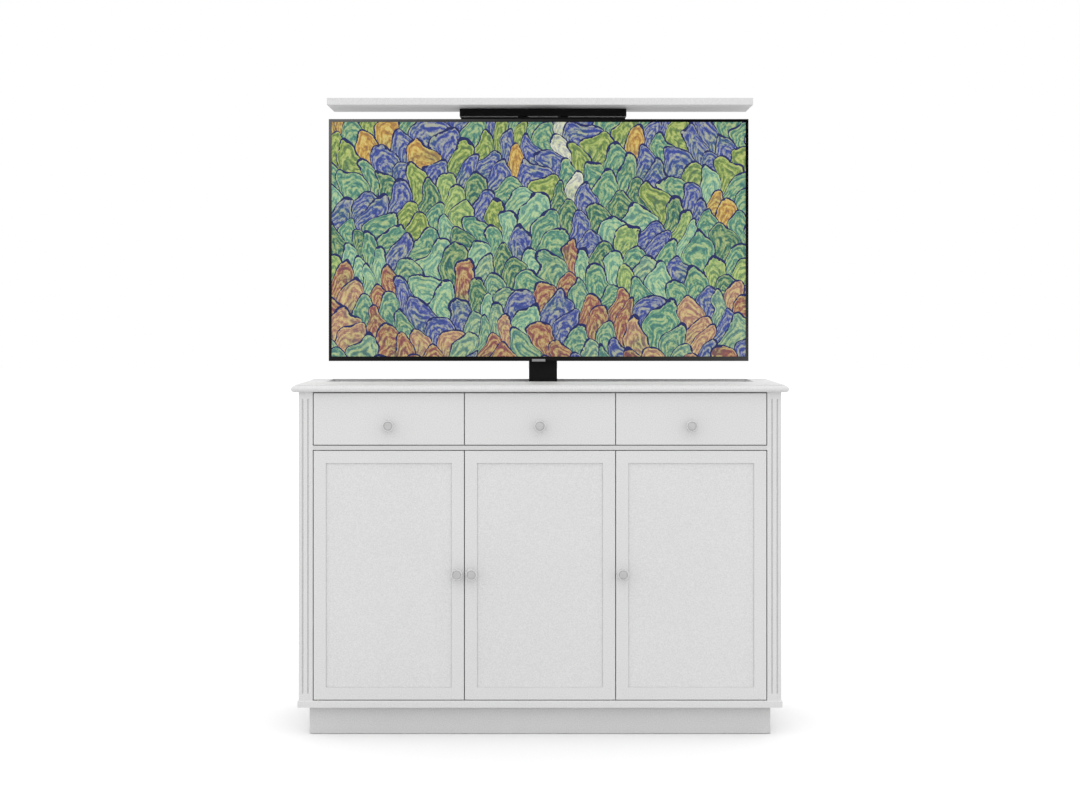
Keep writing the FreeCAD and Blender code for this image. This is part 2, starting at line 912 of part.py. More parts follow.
def pads(room_x, room_y, z0, z1, on_wall):
    """Four glide strips between nested tubes, in a room of that size.

    They lie on the room's walls if on_wall is true, and otherwise on the tube inside it, and
    keep the running gap from the other.
    """
    x = column_offset
    y = column_y
    half_x = room_x / 2
    half_y = room_y / 2
    thickness = stage_gap - running_gap
    near = running_gap if not on_wall else 0.0
    strips = []
    for side in (-1, 1):
        a, b = sorted((side * (half_x - near), side * (half_x - near - thickness)))
        width = half_y - pad_share_margin
        strips.append(board(x + a, x + b, y - width, y + width, z0, z1))
        a, b = sorted((side * (half_y - near), side * (half_y - near - thickness)))
        width = half_x - pad_share_margin
        strips.append(board(x - width, x + width, y + a, y + b, z0, z1))
    return strips


def outer_tube():
    """The fixed stage, welded to its foot plate, with a window for the gearbox's neck."""
    stage = tube(outer_x, outer_y, foot_plate_top, outer_top)
    x = column_offset
    window = board(
        x,
        x + outer_x,
        column_y - gearbox_neck / 2 - gearbox_fit,
        column_y + gearbox_neck / 2 + gearbox_fit,
        foot_plate_top,
        gearbox_top - gearbox_fit,
    )
    plate = board(
        x - foot_plate_x / 2,
        x + foot_plate_x / 2,
        column_y - outer_y / 2 - foot_plate_margin,
        column_y + outer_y / 2 + foot_plate_margin,
        floor_z,
        foot_plate_top,
    )
    return stage.cut(window).fuse(plate).removeSplitter()


def outer_pads():
    """Glide strips at the mouth of the fixed stage."""
    top = outer_top - pad_end_gap
    room_x = outer_x - 2 * stage_wall
    room_y = outer_y - 2 * stage_wall
    return pads(room_x, room_y, top - pad_length, top, True)


def middle_pads():
    """Glide strips round the foot of the middle stage and inside its mouth."""
    foot = middle_foot + pad_end_gap
    room_x = middle_x + 2 * stage_gap
    room_y = middle_y + 2 * stage_gap
    strips = pads(room_x, room_y, foot, foot + pad_length, False)
    top = middle_top - pad_end_gap
    mouth_x = middle_x - 2 * stage_wall
    mouth_y = middle_y - 2 * stage_wall
    return strips + pads(mouth_x, mouth_y, top - pad_length, top, True)


def inner_pads():
    """Glide strips round the foot of the inner stage."""
    foot = inner_foot + pad_end_gap
    room_x = inner_x + 2 * stage_gap
    room_y = inner_y + 2 * stage_gap
    return pads(room_x, room_y, foot, foot + pad_length, False)


def drive_motor():
    """Gearbox in the foot of the column, its neck through the window, and the motor beside it."""
    x = column_offset
    top = gearbox_top - 2 * gearbox_fit
    room_x = outer_x - 2 * stage_wall
    room_y = outer_y - 2 * stage_wall
    size_x = room_x - 2 * gearbox_fit
    size_y = room_y - 2 * gearbox_fit
    gearbox = bar(size_x, size_y, stage_corner, foot_plate_top, top)
    neck_end = x + outer_x / 2 + gearbox_fit
    y0 = column_y - gearbox_neck / 2
    neck = board(x, neck_end, y0, y0 + gearbox_neck, foot_plate_top, top)
    y0 = column_y - motor_block / 2
    block = board(neck_end, neck_end + motor_block, y0, y0 + motor_block, foot_plate_top, top)
    housing = gearbox.fuse(neck).fuse(block).removeSplitter()
    can_at = V(neck_end + motor_block / 2, column_y, top)
    can = Part.makeCylinder(motor_radius, motor_length, can_at)
    return [housing, chamfered(can, motor_edge, "z", top + motor_length)]


def drive_screw():
    """The lifting screw, standing on the gearbox."""
    foot = gearbox_top - 2 * gearbox_fit + screw_end_gap
    top = nut_top + screw_reach
    screw = Part.makeCylinder(screw_radius, top - foot, V(column_offset, column_y, foot))
    return chamfered(screw, edge_ease, "z", top)


def drive_nut():
    """The nut in the foot of the middle stage, bored to run on the screw."""
    room_x = middle_x - 2 * stage_wall
    room_y = middle_y - 2 * stage_wall
    block = bar(room_x, room_y, stage_corner - stage_wall, middle_foot, nut_top)
    bore_at = V(column_offset, column_y, middle_foot)
    return block.cut(Part.makeCylinder(screw_radius + screw_fit, nut_height, bore_at))


# ---------------------------------------------------------------- what the column raises


def lift_head():
    """A plate on the inner stage, bent down in front of the column as the hanger."""
    x = column_offset
    back = column_y + inner_y / 2
    foot = vesa_z - bracket_rail_spacing / 2 - hanger_below
    outline = [
        V(x - head_x / 2, hanger_front, foot),
        V(x - head_x / 2, hanger_back, foot),
        V(x - head_x / 2, hanger_back, inner_top),
        V(x - head_x / 2, back, inner_top),
        V(x - head_x / 2, back, head_top),
        V(x - head_x / 2, hanger_front, head_top),
    ]
    return swept(outline, V(head_x, 0, 0))


def tv_bracket():
    """Two flat rails on the hanger, and an upright channel on each side that holds the television."""
    rail_front = tv_back + bracket_arm_depth
    left = tv_offset - bracket_rail_length / 2
    right = left + bracket_rail_length
    pieces = []
    for z in (vesa_z - bracket_rail_spacing / 2, vesa_z + bracket_rail_spacing / 2):
        foot = z - bracket_rail_height / 2
        top = foot + bracket_rail_height
        pieces.append(board(left, right, rail_front, hanger_front, foot, top))
    for side in (-1, 1):
        x = tv_offset + side * vesa_pitch / 2
        x0 = x - bracket_arm_width / 2
        foot = vesa_z - bracket_arm_length / 2
        metal = bracket_arm_metal
        outline = [
            V(x0, tv_back, foot),
            V(x0 + bracket_arm_width, tv_back, foot),
            V(x0 + bracket_arm_width, rail_front, foot),
            V(x0 + bracket_arm_width - metal, rail_front, foot),
            V(x0 + bracket_arm_width - metal, tv_back + metal, foot),
            V(x0 + metal, tv_back + metal, foot),
            V(x0 + metal, rail_front, foot),
            V(x0, rail_front, foot),
        ]
        pieces.append(swept(outline, V(0, 0, bracket_arm_length)))
    return pieces


def carrier_span():
    """Front and back of the lid's carrier, centred over the column."""
    return column_y - carrier_depth / 2, column_y + carrier_depth / 2


def lid_support():
    """A downturned channel across the head, under the lid's bracket."""
    y0, y1 = carrier_span()
    x0 = column_offset - support_length / 2
    metal = support_metal
    outline = [
        V(x0, y0, head_top),
        V(x0, y0, support_top),
        V(x0, y1, support_top),
        V(x0, y1, head_top),
        V(x0, y1 - metal, head_top),
        V(x0, y1 - metal, support_top - metal),
        V(x0, y0 + metal, support_top - metal),
        V(x0, y0 + metal, head_top),
    ]
    return swept(outline, V(support_length, 0, 0))


def lid_buffers():
    """Rubber buffers that let the lid settle in its slot."""
    y0, y1 = carrier_span()
    return [
        Part.makeCylinder(
            buffer_radius,
            buffer_height,
            V(column_offset + side * buffer_spacing / 2, y, support_top),
        )
        for side in (-1, 1)
        for y in (y0 + buffer_inset, y1 - buffer_inset)
    ]


def lid_bracket():
    """A rectangular tube under the lid."""
    y0, y1 = carrier_span()
    x0 = column_offset - lid_bracket_length / 2
    x1 = x0 + lid_bracket_length
    wall = lid_bracket_wall
    tube_outside = board(x0, x1, y0, y1, lid_bracket_foot, lid_under)
    bore = board(x0, x1, y0 + wall, y1 - wall, lid_bracket_foot + wall, lid_under - wall)
    return tube_outside.cut(bore)


def lid():
    """The piece of the top that rides on the column and closes the slot."""
    half = lid_width / 2
    top = lid_under + top_thickness
    panel = board(-half, half, lid_front, lid_front + lid_depth, lid_under, top)
    return eased(panel, edge_ease, "z", top)


# ---------------------------------------------------------------- television


def tv_limits():
    """Left and right edges of the television."""
    return tv_offset - tv_width / 2, tv_offset + tv_width / 2


def tv_frame():
    """Four mitred bezel bars round the display."""
    left, right = tv_limits()
    outer = [V(left, tv_front, tv_foot), V(right, tv_front, tv_foot)]
    outer += [V(right, tv_front, tv_top), V(left, tv_front, tv_top)]
    inner = [
        V(left + bezel_side, tv_front, tv_foot + bezel_bottom),
        V(right - bezel_side, tv_front, tv_foot + bezel_bottom),
        V(right - bezel_side, tv_front, tv_top - bezel_top),
        V(left + bezel_side, tv_front, tv_top - bezel_top),
    ]
    bars = []
    for start in range(4):
        end = (start + 1) % 4
        outline = [outer[start], outer[end], inner[end], inner[start]]
        bars.append(swept(outline, V(0, tv_frame_depth, 0)))
    return bars


def tv_screen():
    """The display, set back in its frame."""
    left, right = tv_limits()
    front = tv_front + screen_recess
    return board(
        left + bezel_side,
        right - bezel_side,
        front,
        front + screen_thickness,
        tv_foot + bezel_bottom,
        tv_top - bezel_top,
    )


def leaning_block(x0, x1, z0, z1, y0, y1, lean):
    """A block from y0 to y1 whose four sides lean in by that much towards y1."""

    def loop(y, inset):
        corners = [
            V(x0 + inset, y, z0 + inset),
            V(x1 - inset, y, z0 + inset),
            V(x1 - inset, y, z1 - inset),
            V(x0 + inset, y, z1 - inset),
        ]
        return Part.makePolygon(corners + corners[:1])

    return Part.makeLoft([loop(y0, 0), loop(y1, lean)], True, True)


def socket_bay(grow):
    """The pocket in the side of the hump, or its outside if grown by the wall."""
    right = tv_limits()[1] - hump_side_margin
    foot = hump_foot + socket_bay_rise - grow
    return board(
        right - socket_bay_depth - grow,
        right,
        tv_front + tv_slim_depth - grow,
        tv_back,
        foot,
        foot + socket_bay_height + 2 * grow,
    )


def tv_shell(inset):
    """The rear cover's form, or the room inside it if inset by the wall."""
    left, right = tv_limits()
    seam = tv_front + tv_frame_depth
    slim = leaning_block(
        left + inset,
        right - inset,
        tv_foot + inset,
        tv_top - inset,
        seam,
        tv_front + tv_slim_depth - inset,
        cover_slope,
    )
    hump = leaning_block(
        left + hump_side_margin + inset,
        right - hump_side_margin - inset,
        hump_foot + inset,
        hump_foot + hump_height - inset,
        seam,
        tv_back - inset,
        cover_slope,
    )
    return slim.fuse(hump).cut(socket_bay(inset)).removeSplitter()


def row_starts(middle, count, pitch, size):
    """Where each thing of that size starts, in a row of them about a middle."""
    first = middle - (count - 1) * pitch / 2 - size / 2
    return [first + place * pitch for place in range(count)]


def tv_rear_cover():
    """A thin moulded cover with a hump, vents along its top and a pocket for the sockets."""
    cover = tv_shell(0).cut(tv_shell(cover_wall))
    foot = hump_foot + hump_height - cover_slope - 2 * tv_vent_height
    top = foot + tv_vent_height
    for x in row_starts(tv_offset, tv_vent_count, tv_vent_pitch, tv_vent_width):
        cover = cover.cut(board(x, x + tv_vent_width, tv_back - cover_wall, tv_back, foot, top))
    wall = tv_limits()[1] - hump_side_margin - socket_bay_depth
    middle = hump_foot + socket_bay_rise + socket_bay_height / 2
    front = (tv_front + tv_slim_depth + tv_back - socket_width) / 2
    back = front + socket_width
    for z in row_starts(middle, socket_count, socket_pitch, socket_length):
        cover = cover.cut(board(wall - cover_wall, wall, front, back, z, z + socket_length))
    return cover


# ---------------------------------------------------------------- control box


def control_box():
    """The lift's control unit on the floor of the well, with a mains inlet in its end."""
    back = back_inner - control_lip
    front = back - control_depth
    x0 = control_x
    x1 = control_x + control_length
    top = floor_z + control_height
    case = board(x0, x1, front, back, floor_z, top)
    case = eased(case, control_edge, "z", top)
    y0 = (front + back - inlet_width) / 2
    z0 = floor_z + (control_height - inlet_height) / 2
    inlet = board(x1 - inlet_depth, x1, y0, y0 + inlet_width, z0, z0 + inlet_height)
    return case.cut(inlet)


# ---------------------------------------------------------------- write every piece

save("top_slab", top_slab())
save("base_panel", base_panel())
save("plinth", *plinth())
save("levelling_feet", *[
    foot for y in foot_rows() for foot in (levelling_foot(y), mirrored(levelling_foot(y)))
])
save("side_panels", side_panel(), mirrored(side_panel()))
save("fluted_posts", fluted_post(), mirrored(fluted_post()))
save("lift_partition", lift_partition())
save("dividers", *dividers())
save("drawer_deck", drawer_deck())
save("shelves", *shelves())
save("shelf_pins", *shelf_pins())
save("back_panels", fixed_back(True), mirrored(fixed_back(False)))
save("access_panel", access_panel())
save("door_pivot_pins", *pivot_pins())
save("door_catches", *[door_catch(place) for place in range(front_count)])
save("cabinet_runners", *[rail for place in range(front_count) for rail in cabinet_runners(place)])
save("runner_packers", runner_packer(), mirrored(runner_packer()))

door_knob_z = floor_z + door_knob_height
drawer_knob_z = (drawer_foot + drawer_top) / 2 - drawer_knob_drop
for place, name in enumerate(("left", "centre", "right")):
    save(name + "_door_frame", *door_frame(place))
    save(name + "_door_panel", door_panel(place))
    save(name + "_door_fittings", *door_fittings(place))
    edge, inward = free_edge(place)
    save(name + "_door_knob", knob(edge + inward * door_knob_inset, door_knob_z))
    save(name + "_drawer_front", drawer_front(place))
    save(name + "_drawer_box", *drawer_box(place))
    save(name + "_drawer_runners", *drawer_runners(place))
    save(name + "_drawer_knob", knob(front_starts[place] + front_width / 2, drawer_knob_z))

save("lift_outer_tube", outer_tube())
save("outer_glide_pads", *outer_pads())
save("drive_motor", *drive_motor())
save("drive_screw", drive_screw())
save("lift_middle_tube", tube(middle_x, middle_y, middle_foot, middle_top))
save("middle_glide_pads", *middle_pads())
save("drive_nut", drive_nut())
save("lift_inner_tube", tube(inner_x, inner_y, inner_foot, inner_top))
save("inner_glide_pads", *inner_pads())
save("lift_head", lift_head())
save("tv_bracket", *tv_bracket())
save("lid_support", lid_support())
save("lid_buffers", *lid_buffers())
save("lid_bracket", lid_bracket())
save("lid", lid())
save("tv_frame", *tv_frame())
save("tv_screen", tv_screen())
save("tv_rear_cover", tv_rear_cover())
save("control_box", control_box())
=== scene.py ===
# %% [markdown]
# # A cabinet that hides a television
#
# The cabinet is painted board: a moulded top, three drawers over three framed doors, fluted
# corner posts and a recessed plinth. A column lifts the television, and the strip of top above
# it, out of a slot. The model of its construction comes in first as a fixed frame, already in
# place and to size. It could all be built again here, but then the two would drift apart, so
# this lesson only gives it its finishes and adds the small things that a frame leaves out.

# %% Load the frame
import math

import bmesh
import bpy
from mathutils import Matrix, Vector


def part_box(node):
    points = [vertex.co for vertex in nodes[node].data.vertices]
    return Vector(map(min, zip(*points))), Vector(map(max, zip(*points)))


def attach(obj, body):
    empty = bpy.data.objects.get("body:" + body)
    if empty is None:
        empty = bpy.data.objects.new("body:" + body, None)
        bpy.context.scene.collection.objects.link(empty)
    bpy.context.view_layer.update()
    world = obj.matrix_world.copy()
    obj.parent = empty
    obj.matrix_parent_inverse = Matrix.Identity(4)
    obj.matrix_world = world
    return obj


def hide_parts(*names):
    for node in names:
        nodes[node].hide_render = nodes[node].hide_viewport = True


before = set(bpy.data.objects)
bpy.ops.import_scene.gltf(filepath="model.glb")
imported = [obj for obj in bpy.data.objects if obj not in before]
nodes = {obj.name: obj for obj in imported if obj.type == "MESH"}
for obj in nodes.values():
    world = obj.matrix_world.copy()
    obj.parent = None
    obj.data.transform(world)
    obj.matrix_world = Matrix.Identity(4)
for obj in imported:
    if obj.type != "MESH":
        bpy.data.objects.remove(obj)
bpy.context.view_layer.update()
print("pieces in the frame:", len(nodes))

# %% [markdown]
# ## The camera
#
# The camera stands level, straight in front of the cabinet, a little above its top, so that
# upright edges stay parallel. The cabinet is brought to the middle of the picture with a small
# vertical shift of the lens, as an architect's camera does. Tilting the camera instead would
# make the posts lean.

# %% Camera
camera_distance, camera_height = 5.149, 1.193
bpy.ops.object.camera_add(
    location=(0, -camera_distance, camera_height), rotation=(math.radians(90), 0, 0)
)
camera = bpy.context.object
camera.name = "camera"
camera.data.lens = 59.07
camera.data.sensor_width = 36
camera.data.shift_y = -0.0894
camera.data.clip_end = 200
bpy.context.scene.camera = camera
print("camera at", tuple(round(value, 3) for value in camera.location))

# %% [markdown]
# ## Sums with sockets
#
# A finish is a small sum: a base colour, plus a little of this noise, less a little of that. In
# the node editor each plus sign is a Math node to place and wire. Here one small class stands
# for an output socket, and adding or multiplying it places those nodes, so a finish reads like
# the sum that it is.


# %% A wire that can be added and multiplied
class Wire:
    """An output socket of a finish. Arithmetic on it adds Math nodes."""

    def __init__(self, tree, socket=None):
        self.tree = tree
        self.socket = socket

    def node(self, kind, settings=None, inputs=None, output=0):
        """Adds any node: first its settings, then the values or links of its sockets."""
        made = self.tree.nodes.new("ShaderNode" + kind)
        for name, value in (settings or {}).items():
            if name == "steps":
                self.set_steps(made.color_ramp, value)
            else:
                setattr(made, name, value)
        for name, value in (inputs or {}).items():
            if isinstance(value, Wire):
                self.tree.links.new(value.socket, made.inputs[name])
            else:
                made.inputs[name].default_value = value
        return Wire(self.tree, made.outputs[output])

    def set_steps(self, ramp, steps):
        """Gives a ramp flat steps, each from its own start to the next one's."""
        ramp.interpolation = "CONSTANT"
        while len(ramp.elements) < len(steps):
            ramp.elements.new(1.0)
        for element, (start, colour) in zip(ramp.elements, steps):
            element.position = start
            element.color = (*colour, 1)

    def math(self, operation, first, second=None, clamp=False):
        inputs = {0: first} if second is None else {0: first, 1: second}
        return self.node("Math", {"operation": operation, "use_clamp": clamp}, inputs)

    def __add__(self, other):
        return self.math("ADD", self, other)

    __radd__ = __add__

    def __sub__(self, other):
        return self.math("SUBTRACT", self, other)

    def __rsub__(self, other):
        return self.math("SUBTRACT", other, self)

    def __mul__(self, other):
        return self.math("MULTIPLY", self, other)

    __rmul__ = __mul__

    def __truediv__(self, other):
        return self.math("DIVIDE", self, other)

    def __rtruediv__(self, other):
        return self.math("DIVIDE", other, self)

    def __lt__(self, other):
        return self.math("LESS_THAN", self, other)

    def __gt__(self, other):
        return self.math("GREATER_THAN", self, other)

    def sine(self):
        return self.math("SINE", self)

    def whole(self):
        return self.math("FLOOR", self)

    def size(self):
        return self.math("ABSOLUTE", self)

    def clamped(self):
        return self.math("ADD", self, 0.0, clamp=True)

    def mix(self, low, high):
        """A colour between two colours, by this wire."""
        inputs = {0: self}
        for place, colour in ((6, low), (7, high)):
            inputs[place] = colour if isinstance(colour, Wire) else (*colour, 1)
        return self.node("Mix", {"data_type": "RGBA"}, inputs, output=2)

    def scaled(self, x, y, z):
        """This vector, stretched along each axis."""
        return self.node("Mapping", {}, {"Vector": self, "Scale": (x, y, z)})

    def noise(self, scale, detail=2.0, roughness=0.5, distortion=0.0):
        """Soft random blotches on this vector, that many to a metre."""
        inputs = {
            "Vector": self,
            "Scale": scale,
            "Detail": detail,
            "Roughness": roughness,
            "Distortion": distortion,
        }
        return self.node("TexNoise", {}, inputs)

    def part(self, axis):
        """One of the vector's x, y and z."""
        return self.node("SeparateXYZ", {}, {0: self}, output="XYZ".index(axis))

    def bump(self, strength, distance):
        """A normal that follows this height."""
        inputs = {"Height": self, "Strength": strength, "Distance": distance}
        return self.node("Bump", {}, inputs)


# %% [markdown]
# ## Light
#
# A white room gives almost all of the light: it comes from everywhere, so shadows are soft and
# pool only where boards meet. One very weak, wide lamp in front keeps the light from being quite
# even. What the camera and the shiny parts see behind the cabinet is plain white. That is set
# apart in the background's own nodes, so the light on the paint can be trimmed without turning
# the background grey.

# %% Room
bpy.context.scene.view_settings.view_transform = "Standard"
world = bpy.data.worlds.new("studio")
world.use_nodes = True
bpy.context.scene.world = world
room = Wire(world.node_tree)
room_light = 1.15
camera_ray, glossy_ray, through_ray = (
    room.node("LightPath", output=f"Is {kind} Ray") for kind in ("Camera", "Glossy", "Transmission")
)
seen = (camera_ray + glossy_ray + through_ray).clamped()
strength = room_light - seen * (room_light - 1.0)
background = world.node_tree.nodes["Background"]
background.inputs["Color"].default_value = (1, 1, 1, 1)
world.node_tree.links.new(strength.socket, background.inputs["Strength"])

bpy.ops.object.light_add(type="SUN", rotation=(math.radians(42), 0, math.radians(-8)))
lamp = bpy.context.object
lamp.name = "front_lamp"
lamp.data.angle = math.radians(24)
lamp.data.energy = 0.05
print("nodes in the room:", len(world.node_tree.nodes))

# %% [markdown]
# ## Floor
#
# The floor is a plain white sheet. A pure white floor would throw so much light up that the
# undersides went as bright as the fronts. So only the camera sees it white, and the light that
# it passes on is that of a pale grey one.

# %% Floor
floor_size, floor_bounce = 60, 0.66
bpy.ops.object.select_all(action="DESELECT")
bpy.ops.mesh.primitive_plane_add(size=floor_size, location=(0, 0, 0))
floor = bpy.context.object
floor.name = "floor"
floor_paint = bpy.data.materials.new("floor_paint")
floor_paint.use_nodes = True
floor_tree = floor_paint.node_tree
on_camera = Wire(floor_tree).node("LightPath", output="Is Camera Ray")
tone = on_camera.mix((floor_bounce,) * 3, (1.0, 1.0, 1.0))
matte = tone.node("BsdfDiffuse", {}, {"Color": tone})
floor_tree.links.new(matte.socket, floor_tree.nodes["Material Output"].inputs["Surface"])
floor.data.materials.append(floor_paint)
print("floor nodes:", len(floor_tree.nodes))

# %% [markdown]
# ## Finishes
#
# Every finish below is one Principled shader, and in nearly all of them colour, roughness and
# bump come from noises. Colours are written as they read on screen, from 0 to 255, and turned
# into light values once.

# %% A new finish
def colour(red, green, blue):
    """A colour as it reads on screen, 0 to 255, turned into the light values that nodes use."""
    parts = [value / 255 for value in (red, green, blue)]
    return tuple(
        part / 12.92 if part <= 0.04045 else ((part + 0.055) / 1.055) ** 2.4 for part in parts
    )


def grey(value):
    """A neutral colour as it reads on screen."""
    return colour(value, value, value)


class Finish:
    """A material with one Principled shader, and the wire of the piece's own coordinates."""

    def __init__(self, name, metallic=0.0, specular=0.5):
        self.material = bpy.data.materials.new(name)
        self.material.use_nodes = True
        self.tree = self.material.node_tree
        self.shader = self.tree.nodes["Principled BSDF"]
        self.shader.inputs["Metallic"].default_value = metallic
        self.shader.inputs["Specular IOR Level"].default_value = specular
        self.place = Wire(self.tree).node("TexCoord", output="Object")

    def feed(self, **wires):
        """Connects wires or values to the shader: base_color, roughness, normal."""
        for name, value in wires.items():
            socket = self.shader.inputs[name.replace("_", " ").title()]
            if isinstance(value, Wire):
                self.tree.links.new(value.socket, socket)
            else:
                socket.default_value = value
        return self.material


# %% [markdown]
# ## Painted board
#
# Satin lacquer sprayed on board is not one flat colour. It has a very fine grain where the
# lacquer dried, a slow drift of tone from pass to pass, and a soft orange-peel skin that breaks
# up the reflections. Three noises at three sizes give that. They read the piece's own
# coordinates, so the grain has the same size on a door as on the plinth.
#
# The narrow flutes of the corner posts are coloured a shade darker: painted shade in the hollows.
# The posts have their own finish for that, which knows where the flutes lie.


# %% Paint and faced board
# how much darker the painted shade in the post flutes makes the coat
painted_shade_drop = 20


def painted_board(name, dark, light, roughness, painted_shade=None):
    """Sprayed board. The last argument marks, from 0 to 1, where painted shade darkens the coat."""
    finish = Finish(name)
    drift = finish.place.noise(3.0, 2)
    grain = finish.place.noise(330, 1, 0.5)
    tone = (0.5 + (drift - 0.5) * 0.3 + (grain - 0.5) * 1.7).clamped()
    skin = finish.place.noise(420, 1)
    coat = tone.mix(grey(dark), grey(light))
    if painted_shade:
        # painted shade: the same coat made darker where the mask marks a hollow
        shaded_coat = tone.mix(grey(dark - painted_shade_drop), grey(light - painted_shade_drop))
        coat = painted_shade(finish.place).mix(coat, shaded_coat)
    return finish.feed(
        base_color=coat,
        roughness=roughness + (grain - 0.5) * 0.15,
        normal=(skin * 0.6 + grain * 0.4).bump(0.16, 0.0006),
    )


def in_flutes(place):
    """0 on the face of a post, and 1 at the bottom of its two flutes."""
    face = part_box("fluted_posts")[0].y
    between_flutes, half_spread, flute_depth = 0.65465, 0.0098, 0.00225
    sunk = (place.part("Y") - face) / flute_depth
    beside = (place.part("X").size() - between_flutes).size() < half_spread
    return (sunk * 1.5).clamped() * beside * (sunk < 1.1)


paint = painted_board("satin_paint", 214, 233, 0.46)
# the posts get painted shade in their flutes
post_paint_flute_shade = painted_board("post_paint_flute_shade", 214, 233, 0.46, in_flutes)
# painted shade: the plinth's coat is darker, for the shade under the overhanging moulding
plinth_shaded_paint = painted_board("plinth_shaded_paint", 204, 223, 0.52)
faced_board = painted_board("faced_board", 206, 222, 0.58)
print("painted finishes:", paint.name, post_paint_flute_shade.name, plinth_shaded_paint.name, faced_board.name)

# %% [markdown]
# ## Wood of the drawers
#
# The drawer boxes are lacquered birch. Birch has a faint, long grain: a noise stretched along
# the board gives the broad bands, a much finer one the pores. A wave texture would draw bands as
# well, but harder and more even ones than birch has.


# %% Birch
def birch_wood():
    finish = Finish("lacquered_birch")
    along = finish.place.scaled(1.2, 14.0, 14.0)
    bands = along.noise(2.2, 3, 0.55, 0.6)
    pores = finish.place.scaled(6.0, 220.0, 220.0).noise(1.6, 2)
    tone = ((bands - 0.3) * 1.5 + (pores - 0.5) * 0.5).clamped()
    return finish.feed(
        base_color=tone.mix(colour(222, 197, 160), colour(240, 221, 190)),
        roughness=0.42 + (pores - 0.5) * 0.2,
        normal=pores.bump(0.12, 0.0004),
    )


birch = birch_wood()

# %% [markdown]
# ## Metals
#
# The knobs are satin nickel, the pins and bushes nickel-plated, the runners zinc-plated. Each is a
# metal with its own roughness and fine marks: turned rings on the knobs, drawn lines along the
# rails. The column is black anodised aluminium and the brackets are powder-coated steel, which
# is a paint with a fine pebbled skin. Apart from the knobs, one function makes all that is bare
# or plated and another all that is coated, so the finishes of a kind differ only in tone, gloss
# and marks.


# %% Metal finishes
def plated(name, dark, light, roughness, stretch=(1, 1, 1)):
    """Bare or plated metal, with fine marks that run along the axis that stretches least."""
    finish = Finish(name, metallic=1.0)
    marks = finish.place.scaled(*stretch).noise(300, 3, 0.6)
    cloud = finish.place.noise(9, 2)
    tone = ((marks - 0.5) * 0.5 + cloud).clamped()
    return finish.feed(
        base_color=tone.mix(dark, light),
        roughness=roughness + (marks - 0.5) * 0.16 + (cloud - 0.5) * 0.1,
        normal=marks.bump(0.08, 0.0002),
    )


def coated(name, dark, light, roughness, pebble, height, specular=0.12):
    """A coat or moulded plastic: a pebbled skin, and tone that varies a little."""
    finish = Finish(name, specular=specular)
    skin = finish.place.noise(pebble, 2, 0.6)
    cloud = finish.place.noise(5, 2)
    tone = ((skin - 0.5) * 0.6 + cloud).clamped()
    return finish.feed(
        base_color=tone.mix(dark, light),
        roughness=roughness + (skin - 0.5) * 0.2 + (cloud - 0.5) * 0.08,
        normal=skin.bump(0.3, height),
    )


pin_nickel = plated("pin_nickel", colour(146, 145, 142), colour(174, 172, 168), 0.30)
nut_brass = plated("lift_nut_brass", colour(176, 140, 80), colour(206, 170, 104), 0.36)
zinc = plated("zinc_plate", grey(190), grey(222), 0.34, (1.0, 0.06, 1.0))
black_aluminium = coated("black_anodised", grey(20), grey(32), 0.36, 900, 0.0001)
black_steel = coated("black_powder_coat", grey(14), grey(24), 0.48, 1100, 0.0004)
motor_grey = coated("cast_grey", grey(96), grey(124), 0.5, 500, 0.0006)
plate_steel = plated("plate_steel", grey(140), grey(164), 0.38, (0.06, 1.0, 1.0))
metals = (pin_nickel, nut_brass, zinc, black_aluminium, black_steel, motor_grey, plate_steel)
print("metal finishes:", [metal.name for metal in metals])

# %% [markdown]
# ## Plastics, rubber and foam
#
# Collars, feet, buffers and covers are moulded, and a moulded skin is pebbled as a powder coat
# is. So they share its function, each with pebbles, tone and gloss of its own.

# %% Plastics, rubber and foam
white_plastic = coated("white_plastic", grey(222), grey(236), 0.45, 700, 0.0002, 0.5)
grey_plastic = coated("grey_plastic", grey(58), grey(74), 0.55, 800, 0.0005)
rubber = coated("rubber", grey(22), grey(34), 0.8, 600, 0.0006)
foam = coated("foam", grey(150), grey(170), 0.85, 900, 0.0003)
tv_cover = coated("cover_black", grey(26), grey(36), 0.62, 900, 0.0006)


# %% [markdown]
# ## Black of the television's frame
#
# A slim glossy black frame is never evenly black: it grows lighter towards the corners that face
# the room's bright walls. Leaving that to reflections would take a whole room round the cabinet.
# Here the sheen is part of the finish. It is worked out from how far across and how far up the
# frame a point lies, and it rises steeply, as a cube, so that most of the frame stays black.


# %% Frame black
def bezel_black():
    """Brightest at the upper left corner, weaker at the lower right, faint at the lower left."""
    finish = Finish("bezel_black", specular=0.04)
    low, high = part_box("tv_frame")
    across = (finish.place.part("X") - (low.x + high.x) / 2) / (high.x - low.x)
    up = (finish.place.part("Z") - (low.z + high.z) / 2) / (high.z - low.z)
    skin = finish.place.noise(1400, 2, 0.6)
    upper_left, lower_right, lower_left = 1.20, 0.45, 0.11
    corner = up - across
    third_corner = (0.0 - up - across).clamped()
    steep = corner * corner * corner.size()
    sheen = steep * (lower_right + (corner > 0) * (upper_left - lower_right))
    sheen = sheen + third_corner * third_corner * third_corner * lower_left + (skin - 0.5) * 0.04
    return finish.feed(
        base_color=sheen.clamped().mix(grey(0), grey(104)),
        roughness=0.34 + (skin - 0.5) * 0.1,
        normal=skin.bump(0.2, 0.0001),
    )


tv_black = bezel_black()
print("television finishes:", tv_black.name, tv_cover.name)

# %% [markdown]
# ## Turned nickel
#
# A knob is finished on a lathe, so its polishing marks run round the axis. A noise that only sees
# the distance from the axis draws such rings. That distance is kept on the knob's own points, as an
# attribute named turning, because the axis is at another place on each knob. A part of the depth is
# added to it, or the steep sides would have no rings. The disc in the middle is a shade darker than
# the rim.


# %% Nickel for the knobs
# the value of turning at the edge of the disc
disc_edge = 0.0036


